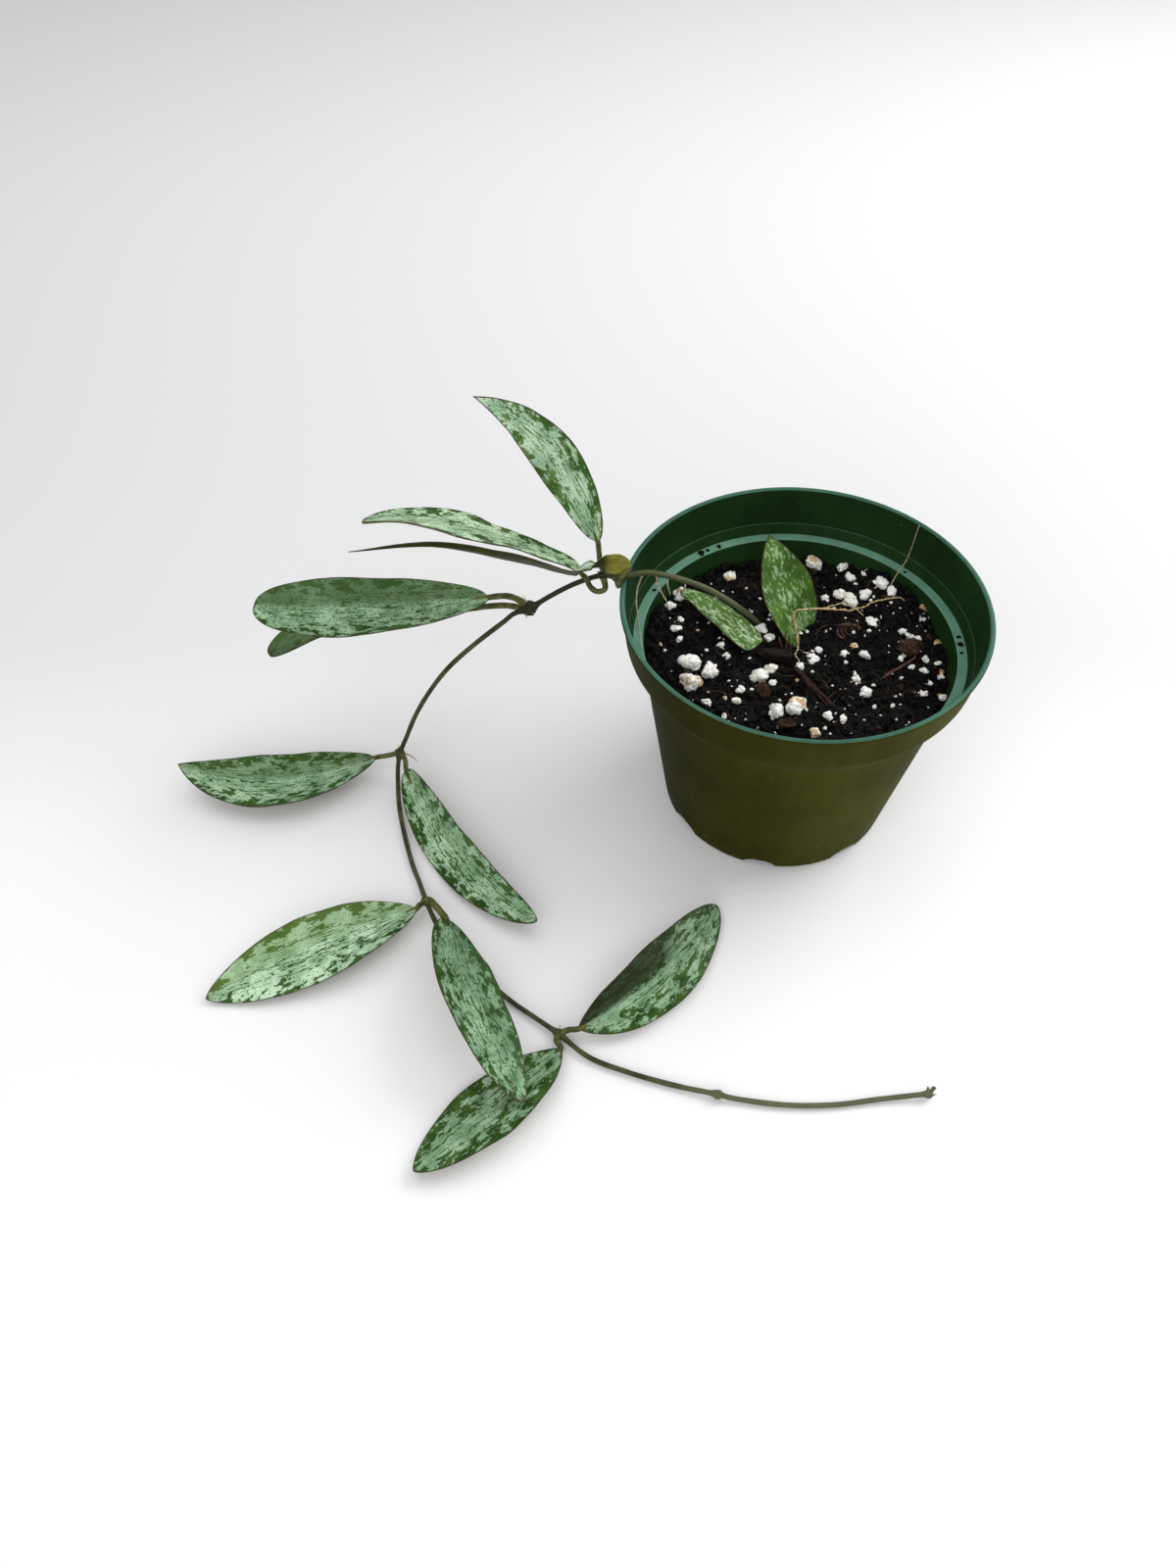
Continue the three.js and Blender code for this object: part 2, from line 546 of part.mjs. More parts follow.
addPart('pot', makePot(), MATERIALS.pot);
addPart('potting_mix', makePottingMix(holes), MATERIALS.soil);
addPart('vine_stem', makeStem(), MATERIALS.stem);
for (const [name, leaf] of Object.entries(LEAVES)) {
  addPart(name, makeLeaf(leaf), leaf.joint ? MATERIALS.leaf : MATERIALS.potLeaf);
}
addPart('surface_root', makeSurfaceRoot(), MATERIALS.root);
addPart('root_hair', tube(ROOT_HAIR.run, ROOT_HAIR), MATERIALS.root);
for (const [name, bit] of Object.entries(BITS)) {
  addPart(name, makeBit(bit), { color: bit.color, roughness: 0.95 });
}

export default plant;
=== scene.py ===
"""A potted wax plant with silver-flecked leaves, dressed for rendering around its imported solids.

Shapes are worked out in millimetres in the frame of the solids (+Z up, origin under the middle of
the pot) and turned into metres when a mesh is made.
"""

import itertools
import math
import random

import bmesh
import bpy
import numpy as np
from mathutils import Euler, Matrix, Vector


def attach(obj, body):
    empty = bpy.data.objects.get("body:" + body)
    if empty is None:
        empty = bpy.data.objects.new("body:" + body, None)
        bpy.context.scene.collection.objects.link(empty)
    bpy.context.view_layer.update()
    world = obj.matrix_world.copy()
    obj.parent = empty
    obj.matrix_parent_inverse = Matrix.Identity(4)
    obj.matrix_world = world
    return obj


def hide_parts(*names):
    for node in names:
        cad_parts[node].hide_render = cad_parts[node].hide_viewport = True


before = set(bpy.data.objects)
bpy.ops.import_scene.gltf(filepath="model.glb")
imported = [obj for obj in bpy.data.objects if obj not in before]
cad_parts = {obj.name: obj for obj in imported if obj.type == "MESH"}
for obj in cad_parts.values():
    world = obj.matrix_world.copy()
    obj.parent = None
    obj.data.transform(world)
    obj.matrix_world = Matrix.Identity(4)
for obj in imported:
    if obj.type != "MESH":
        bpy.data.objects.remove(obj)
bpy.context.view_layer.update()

MM = 0.001
BODY = "root"
SEED = 20417

# --- Dimensions in millimetres, most of them shared with the solids ---
RIM_RADIUS = 76.2
POT_HEIGHT = 114.3
FOOT_RADIUS = 51.9
FLOOR = 2.0
LEDGE_Z = 92.2
LEDGE_INNER = 65.8
INNER_FOOT_RADIUS = 51.0
SOIL_LEVEL = 82.0
# Heaps and one hollow of the mix: x, y, spread and height.
SOIL_HEAPS = [(-58, 14, 20, 6), (46, 40, 18, 6), (-6, 12, 16, 3), (10, -48, 22, 4), (7, 9, 9, -4)]

JOINTS = {
    "a": ((-77, 13, 116.9), 2.5),
    "a2": ((-83, 13.7, 117), 1.9),
    "b": ((-114, 17, 95), 3.3),
    "c": ((-179, 7, 11.5), 2.5),
    "d": ((-160.5, -73, 4.6), 2.2),
    "e": ((-101, -137, 3.4), 2.4),
    "f": ((-38, -163, 2.6), 2.1),
    "g": ((45.5, -163, 3), 1.9),
}
STEM_IN_POT = [
    (-7, 19.6, 66), (-10, 19.6, 75), (-13.5, 19.3, 82.2), (-19, 19, 89), (-28, 18.6, 97.5),
    (-39.5, 17.6, 106.2), (-52, 16.8, 112.4), (-64.5, 15.8, 116.2), (-73, 14, 116.1), JOINTS["a"][0],
]
STEM_STRETCHES = [
    [JOINTS["a"][0], JOINTS["a2"][0]],
    [JOINTS["a2"][0], (-88, 14.9, 114.2), (-96, 17, 108.4), (-106, 17, 101.6), JOINTS["b"][0]],
    [JOINTS["b"][0], (-120.7, 16, 93.2), (-125.3, 15.3, 89.2), (-139.2, 13.1, 77.2),
     (-151.6, 11.2, 64.5), (-161.1, 9.7, 50.8), (-168.8, 8.6, 36.3), (-175.1, 7.6, 20.8),
     JOINTS["c"][0]],
    [JOINTS["c"][0], (-179.6, 1, 8), (-179.2, -7, 4.8), (-178, -17, 2.8), (-175.5, -28.5, 2),
     (-169, -50.5, 2), (-164.5, -62, 2.8), JOINTS["d"][0]],
    [JOINTS["d"][0], (-153.5, -86.5, 2.6), (-139, -104, 1.8), (-122, -120.5, 1.8), (-111, -129, 2.2),
     JOINTS["e"][0]],
    [JOINTS["e"][0], (-89, -146.5, 1.9), (-73.5, -153, 1.7), (-54, -159, 1.7), JOINTS["f"][0]],
    [JOINTS["f"][0], (-32, -164.3, 1.9), (-12, -167, 1.6), (7.5, -167, 1.6), (27, -164.6, 1.8),
     JOINTS["g"][0]],
]
AERIAL_ROOTS = [
    [(-66, 15.6, 116), (-68.4, 13, 110), (-68.6, 9, 104), (-67.6, 1, 97.5), (-66.5, -6, 93.2)],
    [(-61, 16.2, 115.4), (-59.5, 13.5, 110), (-56, 11.5, 104), (-55, 10.5, 100)],
    [(-56, 16.6, 114), (-55.5, 14.5, 109.5), (-54.5, 13.5, 106)],
    [(-48, 17.3, 111.2), (-48.5, 15.5, 107.5), (-49, 15, 105)],
    [(-35, 18.4, 103.5), (-34.6, 17, 100.5), (-34.4, 16.6, 98.5)],
    [(-179, 7, 11.5), (-174, 6.2, 10.6), (-170.6, 3.4, 9.6)],
]

# Thin dry bracts at the joints: joint, heading in degrees, rise and length.
BRACTS = [
    ("b", 20, 0.7, 2.6), ("b", -70, 0.1, 2.2), ("b", -110, -0.3, 1.8), ("b", 130, 0.9, 3.0),
    ("c", -60, 0.2, 2.4), ("c", 100, 0.8, 1.6), ("d", 140, 0.6, 1.6), ("e", 80, 0.7, 1.4),
    ("f", -50, 0.1, 1.2), ("f", -110, 0.3, 1.3), ("g", 60, 0.8, 1.3), ("g", -20, 0.5, 1.4),
]

# Per leaf: joint, stalk points, blade base and tip, bow of the midrib (or points it winds through),
# half width, root and point exponents, roll in degrees at even steps, and cup.
LEAVES = {
    "leaf_a1": dict(
        joint="a2", stalk=[(-82.8, 19.5, 113.6), (-84, 26.5, 113.2)], base=(-85, 29, 122),
        tip=(-133, 37.5, 185.5), bow=(8, 20, 8), half=10, root=0.5, point=1, roll=[-72, -72], cup=0.12),
    "leaf_a2": dict(
        joint="a2", stalk=[(-82.1, 11, 111.5), (-85.4, 10.4, 110.8), (-88.2, 11.4, 112.6)],
        base=(-89.9, 13.2, 115.7), tip=(-180, 19, 140), through=[(-96.5, 18.8, 118.6),
        (-108, 18.4, 124.6), (-120, 17.3, 131), (-132, 17.3, 135.6), (-144.6, 19, 138.2),
        (-156.5, 20.1, 140), (-168.1, 20.2, 140.8)], half=11.4, root=1.05, point=0.42,
        roll=[-4, 4, 12, 16, 22, 28], cup=0.15),
    "leaf_a3": dict(
        joint="a", stalk=[(-76.6, 8.6, 115.6), (-75.9, 8.2, 119), (-74, 9.5, 121.8)],
        base=(-71.8, 10.2, 123.5), tip=(-190.7, 30.8, 114.7), through=[(-76.8, 11.2, 124.5),
        (-82, 10.4, 124.9), (-88, 10.3, 124.4), (-95.5, 8.9, 121.9), (-104, 15.2, 119.2),
        (-125, 27.3, 115.2), (-155, 32.8, 116.9)], half=6.7, root=0.38, point=0.65,
        roll=[90, 86, 76, 22, 46, 54, 57, 56, 50], cup=0.08),
    "leaf_b1": dict(
        joint="b", stalk=[(-118, 20, 96.6), (-124, 26, 94)], base=(-133, 30, 89.6), tip=(-233, 19, 95),
        bow=(-10, -16, 3.4), half=15, root=0.5, point=0.5, roll=[0, -25], cup=0.25),
    "leaf_b2": dict(
        joint="b", stalk=[(-118, 20.4, 92.4), (-125, 26.4, 88.2), (-134, 30.4, 84)], base=(-143, 31, 82),
        tip=(-234, 23, 61), bow=(-2, 24, 6), half=12.3, root=0.5, point=0.4, roll=[0, 10], cup=0.15),
    "leaf_c1": dict(
        joint="c", stalk=[(-184.5, 5.8, 11)], base=(-191, 6, 9), tip=(-283, -0.5, 12),
        bow=(-2.5, -25, -3.5), half=15, root=0.55, point=0.85, roll=[18, -30], cup=0.2),
    "leaf_c2": dict(
        joint="c", stalk=[(-176, 2.5, 12)], base=(-175, -3, 10.5), tip=(-111, -87, 10), bow=(-7, -16, -9),
        half=10.5, root=0.45, point=0.6, roll=[40, 20], cup=0.2),
    "leaf_d1": dict(
        joint="d", stalk=[(-162.8, -76.8, 7)], base=(-163.8, -79.4, 8), tip=(-248.6, -120.6, 2.6),
        bow=(6, 0.5, 7), half=16, root=0.6, point=0.75, roll=[24, -35], cup=0.15),
    "leaf_d2": dict(
        joint="d", stalk=[(-158, -75.5, 8.4)], base=(-150.5, -85, 8.8), tip=(-114, -172, 15),
        bow=(-8.5, -3, 20), half=13, root=0.6, point=0.6, roll=[-35, -20], cup=0.2),
    "leaf_e1": dict(
        joint="e", stalk=[(-97, -136, 4.8)], base=(-93, -136.2, 6), tip=(-32, -75.8, 4.5),
        bow=(1, -23, 16), half=14.3, root=0.8, point=0.65, roll=[45, 45], cup=0.2),
    "leaf_e2": dict(
        joint="e", stalk=[(-102, -140.6, 4.8)], base=(-100, -143.8, 4), tip=(-155, -195.2, 5),
        bow=(6.5, 0.5, 4), half=15, root=0.8, point=0.7, roll=[18, 18], cup=0.12),
    "pot_leaf_standing": dict(
        joint=None, stalk=[], base=(5.5, 12, 75.5), tip=(-12.2, 38, 118), bow=(-0.3, -4, 4), half=13,
        root=0.58, point=0.94, roll=[18, -25], cup=0.18),
    "pot_leaf_lying": dict(
        joint=None, stalk=[], base=(-17.6, 2.6, 86.2), tip=(-48, 36, 88.5), bow=(-0.5, 1.5, 5), half=6.2,
        root=0.14, point=0.5, roll=[-5, -10], cup=0.15),
}
# Stalks thicker than the rest.
STALK_RADII = {"leaf_b1": 1.42, "leaf_b2": 1.42, "leaf_d2": 1.6}
LEAF_WAVE = 0.5
WAVES_PER_LEAF = 2.5
BLADE_THICKNESS = 1.2
EDGE_THICKNESS = 0.45

SURFACE_ROOT = [
    (1.4, 3.4, 74), (1.2, 4.6, 81), (1.1, 6.4, 86), (0.2, 9, 90), (-0.8, 12.4, 94), (-0.2, 14.2, 96),
    (3.4, 15.2, 96.2), (11.6, 17.6, 94.4), (19.9, 20.6, 91), (28.2, 23.8, 88.8), (40.3, 29.4, 88.6),
    (49.1, 30.5, 88.2), (52.5, 31, 83),
]
ROOT_BRANCH = [(11.6, 17.6, 94.4), (17.6, 22.6, 91.4), (24, 28.6, 88.2), (26.5, 30.5, 84)]
ROOT_HAIR = [
    (44, 38, 80), (45, 38.5, 87), (48, 41.8, 92.5), (51.5, 44.8, 97.5), (53.3, 47.3, 103.5),
    (54.2, 48.3, 111.5), (54.7, 49.1, 114.0),
]

# Pale roots that lie on the mix: x, y and lift above it.
PALE_ROOTS = [
    [(1.4, 4.4, 1.2), (0.2, 1.8, 1.0), (-0.8, -1.2, 1.1), (0.6, -4.6, 0.9), (-0.6, -8.2, 0.8),
     (-2.6, -10.8, -0.6)],
    [(2.2, 4.4, 1.0), (5.0, 3.4, 1.0), (7.4, 4.6, 0.7), (9.4, 5.2, -0.6)],
    [(37.0, 38.0, -0.4), (40.6, 39.4, 1.4), (44.5, 37.2, 1.6), (46.8, 35.6, 1.2), (50.2, 36.8, -0.4)],
]
# Thin stubs in front of the standing leaf's foot: x, y, lean in x and y, height.
STUBS = [(-3.6, 3.4, -1.2, 3.6, 9.0), (-1.6, 2.6, -1.6, 4.0, 7.5), (-5.6, 4.2, -1.8, 1.6, 6.0)]

# Perlite grains that can be told apart: x, y and diameter.
GRAINS = [
    (13.6, 58.0, 7.6), (-24.4, 51.4, 5.4), (27.4, 56.4, 5.4), (36.3, 50.2, 4.4), (29.2, 48.2, 4.9),
    (-47.5, 37.3, 8.8), (-53.3, 27.5, 5.2), (16.8, 36.0, 3.9), (23.4, 37.4, 5.3), (27.2, 33.1, 7.0),
    (33.6, 35.1, 5.2), (41.4, 40.3, 6.5), (45.7, 35.7, 5.2), (35.4, 20.2, 5.2), (25.9, 6.2, 3.4),
    (20.9, 0.8, 3.8), (29.7, 1.8, 4.6), (10.9, 5.8, 3.4), (6.7, -2.3, 5.4), (0.7, -7.1, 4.2),
    (47.8, 14.3, 3.8), (49.9, 10.9, 3.8), (53.6, 10.2, 3.4), (44.4, -1.8, 3.3), (48.3, -6.4, 2.9),
    (55.1, -1.7, 3.8), (59.4, -4.8, 3.3), (53.1, -9.5, 3.7), (54.7, -15.2, 3.7), (23.6, -9.1, 3.3),
    (24.7, -12.7, 4.1), (26.6, -23.1, 5.7), (51.1, -20.9, 4.1), (-45.5, -6.5, 9.1),
    (-37.6, -8.9, 7.9), (-46.3, -16.6, 9.5), (-31.3, 5.4, 4.6), (-29.9, 0.2, 3.8),
    (-13.9, 12.7, 5.5), (-11.0, 8.2, 4.2), (-16.6, -12.0, 7.5), (-11.5, -8.5, 5.8),
    (-11.8, -16.2, 3.7), (-25.2, -20.5, 4.1), (-27.7, -26.7, 4.1), (-40.0, -27.2, 4.1),
    (-33.2, -34.8, 3.2), (-3.0, -32.3, 9.7), (-11.5, -33.8, 7.2), (8.1, -38.4, 4.4),
    (14.3, -39.7, 4.0), (1.8, -47.6, 5.1), (6.6, -44.0, 2.4), (-49.0, 18.2, 3.8),
    (-51.1, 11.0, 4.2), (-50.0, 6.4, 3.4), (57.9, 21.5, 4.7), (60.3, -10.7, 3.3),
    (58.4, -24.4, 3.7),
]
# Of those, the ones with ochre stains.
STAINED = {0, 1, 5, 14, 35, 47, 51}
# Tan grains, most of them by the wall at the right.
TAN_GRAINS = [(58.5, 27, 3.6), (62.2, 8, 3.8), (58.6, -23, 3.6), (61, -8.5, 3), (28.5, 47, 3)]
# Crumbs that lie on the ledge of the pot: bearing in degrees and size.
LEDGE_CRUMBS = [(124, 2.4), (121, 1.5), (116, 1.6), (-2, 2), (2, 1.4), (-6, 1.2), (40, 1.1), (152, 1.3)]
LEDGE_MIDDLE = 67.8


# --- Small geometry tools ---
def unit(v):
    return v / np.linalg.norm(v, axis=-1, keepdims=True)


def level(angle, rise=0.0):
    """The level direction at an angle in radians from +X, with a rise added."""
    return np.array([math.cos(angle), math.sin(angle), rise])


def smooth_step(low, high, value):
    t = np.clip((value - low) / (high - low), 0, 1)
    return t * t * (3 - 2 * t)


def value_noise(points, size, seed):
    """Smooth noise from -1 to 1 that changes over about size millimetres."""
    scaled = np.asarray(points, float) / size
    cell = np.floor(scaled).astype(np.int64)
    part = scaled - cell
    part = part * part * (3 - 2 * part)
    total = np.zeros(len(scaled))
    for corner in itertools.product((0, 1), repeat=3):
        code = ((cell + corner) @ (374761393, 668265263, 974634777) + seed * 144665) & 0xFFFFFFFF
        code = ((code ^ (code >> 13)) * 1274126177) & 0xFFFFFFFF
        code ^= code >> 16
        weight = np.prod(np.where(corner, part, 1 - part), axis=1)
        total += weight * (code / 0xFFFFFFFF * 2 - 1)
    return total


def fractal_noise(points, size, octaves, seed):
    return sum(value_noise(points, size / 2 ** i, seed + 17 * i) / 2 ** i for i in range(octaves))


def wander(points, size, seed, stride):
    """A smooth random push for each point, from -1 to 1 along each axis."""
    return np.stack([value_noise(points, size, seed + stride * axis) for axis in range(3)], axis=1)


def read_off(marks, along, points):
    """Places at marks, between points whose own marks are along."""
    return np.stack([np.interp(marks, along, points[:, axis]) for axis in range(3)], axis=1)


def curve_through(points, steps_per_span):
    """A smooth curve through the given points, with some steps from each to the next."""
    given = np.asarray(points, float)
    ends = [2 * given[0] - given[1], *given, 2 * given[-1] - given[-2]]
    out = []
    for p0, p1, p2, p3 in zip(ends, ends[1:], ends[2:], ends[3:]):
        d0, d1, d2 = (math.sqrt(np.linalg.norm(b - a)) for a, b in ((p0, p1), (p1, p2), (p2, p3)))
        m1 = ((p1 - p0) / d0 - (p2 - p0) / (d0 + d1) + (p2 - p1) / d1) * d1
        m2 = ((p2 - p1) / d1 - (p3 - p1) / (d1 + d2) + (p3 - p2) / d2) * d1
        for i in range(steps_per_span):
            t = i / steps_per_span
            out.append(p1 + m1 * t + (3 * (p2 - p1) - 2 * m1 - m2) * t ** 2
                       + (2 * (p1 - p2) + m1 + m2) * t ** 3)
    return np.array([*out, given[-1]])


def lengths_along(path):
    return np.concatenate([[0], np.cumsum(np.linalg.norm(np.diff(path, axis=0), axis=1))])


def even_path(points, step):
    """The same curve with points about step millimetres apart."""
    dense = curve_through(points, 12)
    along = lengths_along(dense)
    count = max(2, round(along[-1] / step)) + 1
    return read_off(np.linspace(0, along[-1], count), along, dense)


class Shape:
    """Vertices and faces of several bodies that are to become one mesh."""

    def __init__(self):
        self.vertices = []
        self.faces = []
        self.kinds = []
        self.count = 0

    def add(self, vertices, faces, kind=0):
        """Add a body; kind is the number of its material, or a list with one for each face."""
        self.vertices.append(np.asarray(vertices, float))
        self.faces += [tuple(int(i) + self.count for i in face) for face in faces]
        self.kinds += [kind] * len(faces) if np.isscalar(kind) else kind
        self.count += len(vertices)


def tube(rings, start, end):
    """Rings of vertices joined into a closed body with one vertex at each end."""
    sides = len(rings[0])
    last = (len(rings) - 1) * sides
    pairs = [(j, (j + 1) % sides) for j in range(sides)]
    faces = [(low + j, low + k, low + sides + k, low + sides + j)
             for low in range(0, last, sides) for j, k in pairs]
    faces += [(last + sides, k, j) for j, k in pairs]
    faces += [(last + sides + 1, last + j, last + k) for j, k in pairs]
    return np.concatenate([*rings, [start], [end]]), faces


def sweep(path, radii, sides=10, squash=1.0):
    """A closed round bar along a path; squash narrows it in one direction."""
    path = np.asarray(path, float)
    tangents = unit(np.gradient(path, axis=0))
    guess = (0, 0, 1) if abs(tangents[0][2]) < 0.9 else (1, 0, 0)
    side = unit(np.cross(tangents[0], guess))
    angles = (np.arange(sides) * 2 * math.pi / sides)[:, None]
    rings = []
    for point, tangent, radius in zip(path, tangents, np.broadcast_to(radii, len(path))):
        side = unit(side - tangent * np.dot(side, tangent))
        other = squash * np.cross(tangent, side)
        rings.append(point + radius * (np.cos(angles) * side + np.sin(angles) * other))
    return tube(rings, path[0], path[-1])


def sphere_mesh(detail):
    ball = bmesh.new()
    bmesh.ops.create_icosphere(ball, subdivisions=detail, radius=1)
    vertices = np.array([v.co[:] for v in ball.verts])
    faces = [tuple(v.index for v in f.verts) for f in ball.faces]
    ball.free()
    return vertices, faces


SPHERES = {detail: sphere_mesh(detail) for detail in (1, 2, 3, 4)}


def rough_lump(center, size, seed, detail, roughness, turn, grain=0.8):
    """An uneven lump: a sphere scaled to size (three diameters) and pushed in and out by noise."""
    sphere, faces = SPHERES[detail]
    push = roughness * fractal_noise(sphere, grain, 3, seed)
    shaped = sphere * (1 + push)[:, None] * (np.array(size) / 2)
    return shaped @ np.array(Euler(turn).to_matrix()).T + np.array(center), faces


def wobbly(points, step, radius, seed, sides=8, wandering=0.25, uneven=0.15, taper=0.4):
    """A tapering, uneven bar along a path that wanders a little."""
    path = even_path(points, step)
    path = path + wandering * wander(path, 3.2, seed, 7)
    share = np.linspace(0, 1, len(path))
    radii = radius * (1 - taper * share) * (1 + uneven * value_noise(path, 1.3, seed + 3))
    return sweep(path, radii, sides)


def mesh_from(name, shape, materials, smooth=True):
    mesh = bpy.data.meshes.new(name)
    mesh.from_pydata((np.concatenate(shape.vertices) * MM).tolist(), [], shape.faces)
    for material in materials:
        mesh.materials.append(material)
    mesh.polygons.foreach_set("material_index", shape.kinds)
    mesh.polygons.foreach_set("use_smooth", [smooth] * len(shape.faces))
    mesh.update()
    return mesh


def place(name, mesh, node):
    """Put a piece into the scene: it rides on the body and stands for the named solid."""
    piece = bpy.data.objects.new(name, mesh)
    bpy.context.scene.collection.objects.link(piece)
    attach(piece, BODY)
    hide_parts(node)


def add_piece(name, shape, materials, node, smooth=True):
    place(name, mesh_from(name, shape, materials, smooth), node)


# --- Shaders ---
def srgb(code):
    """Linear colour from a hex code."""
    values = [int(code[i:i + 2], 16) / 255 for i in (0, 2, 4)]
    linear = [v / 12.92 if v <= 0.04045 else ((v + 0.055) / 1.055) ** 2.4 for v in values]
    return (*linear, 1.0)


class Shader:
    """A material and short ways to build its nodes.

    Places are in millimetres; colours are hex codes or linear values.
    """

    def __init__(self, name, specular, roughness=0.5):
        self.material = bpy.data.materials.new(name)
        self.material.use_nodes = True
        self.tree = self.material.node_tree
        self.surface = self.tree.nodes["Principled BSDF"]
        self.surface.inputs["Specular IOR Level"].default_value = specular
        self.surface.inputs["Roughness"].default_value = roughness

    def node(self, kind, inputs=(), output=0, **settings):
        """One output of a new node whose inputs are linked or set."""
        made = self.tree.nodes.new(kind)
        for key, value in settings.items():
            setattr(made, key, value)
        for key, value in dict(inputs).items():
            if isinstance(value, bpy.types.NodeSocket):
                self.tree.links.new(value, made.inputs[key])
            else:
                made.inputs[key].default_value = srgb(value) if isinstance(value, str) else value
        return made.outputs[output]

    def place(self):
        """Position on the object."""
        return self.stretch(self.node("ShaderNodeTexCoord", output="Object"), 1000, 1000, 1000)

    def map(self, name, scale=1.0):
        found = self.node("ShaderNodeUVMap", output="UV", uv_map=name)
        return self.stretch(found, scale, scale, scale)

    def vector(self, operation, a, b):
        return self.node("ShaderNodeVectorMath", {0: a, 1: b}, operation=operation)

    def stretch(self, vector, x, y=1.0, z=1.0):
        return self.vector("MULTIPLY", vector, (x, y, z))

    def part(self, vector, axis):
        return self.node("ShaderNodeSeparateXYZ", {0: vector}, axis)

    def math(self, operation, a, b=0.0):
        return self.node("ShaderNodeMath", {0: a, 1: b}, operation=operation)

    def plus(self, a, b):
        return self.math("ADD", a, b)

    def times(self, a, b):
        return self.math("MULTIPLY", a, b)

    def away(self, value, middle):
        """Distance of the value from middle."""
        return self.math("ABSOLUTE", self.math("SUBTRACT", value, middle))

    def noise(self, vector, scale, detail=2.0, roughness=0.5, output="Fac"):
        return self.node("ShaderNodeTexNoise", {
            "Vector": vector, "Scale": scale, "Detail": detail, "Roughness": roughness}, output)

    def cells(self, vector, scale):
        """Distance to the nearest of some scattered points."""
        return self.node("ShaderNodeTexVoronoi", {"Vector": vector, "Scale": scale}, "Distance")

    def warp(self, vector, scale, amount):
        """The place, pushed about by noise by up to amount."""
        push = self.vector("SUBTRACT", self.noise(vector, scale, 1.0, output="Color"), (0.5, 0.5, 0.5))
        return self.vector("ADD", vector, self.stretch(push, *[2 * amount] * 3))

    def step(self, value, low, high):
        """0 below low, 1 above high, smooth between."""
        return self.node("ShaderNodeMapRange", {0: value, 1: low, 2: high},
                         interpolation_type="SMOOTHSTEP")

    def fall(self, value, low, high):
        """1 below low, 0 above high, smooth between."""
        return self.math("SUBTRACT", 1.0, self.step(value, low, high))

    def range(self, value, low, high, to_low, to_high):
        return self.node("ShaderNodeMapRange", {0: value, 1: low, 2: high, 3: to_low, 4: to_high})

    def mix(self, factor, a, b):
        """Colour a where factor is 0, b where it is 1."""
        return self.node("ShaderNodeMix", {0: factor, 6: a, 7: b}, 2, data_type="RGBA")

    def tint(self, color, where, strength, over):
        """The colour with another laid over it where the value is high."""
        return self.mix(self.times(where, strength), color, over)

    def set(self, name, value):
        self.tree.links.new(value, self.surface.inputs[name])

    def bump(self, height, millimetres, strength, after=None):
        inputs = {"Height": height, "Distance": millimetres * MM, "Strength": strength}
        if after is not None:
            inputs["Normal"] = after
        return self.node("ShaderNodeBump", inputs, "Normal")

    def finish(self, color, height, millimetres, strength, after=None):
        """Link colour and relief to the surface; returns the material."""
        self.set("Base Color", color)
        self.set("Normal", self.bump(height, millimetres, strength, after))
        return self.material


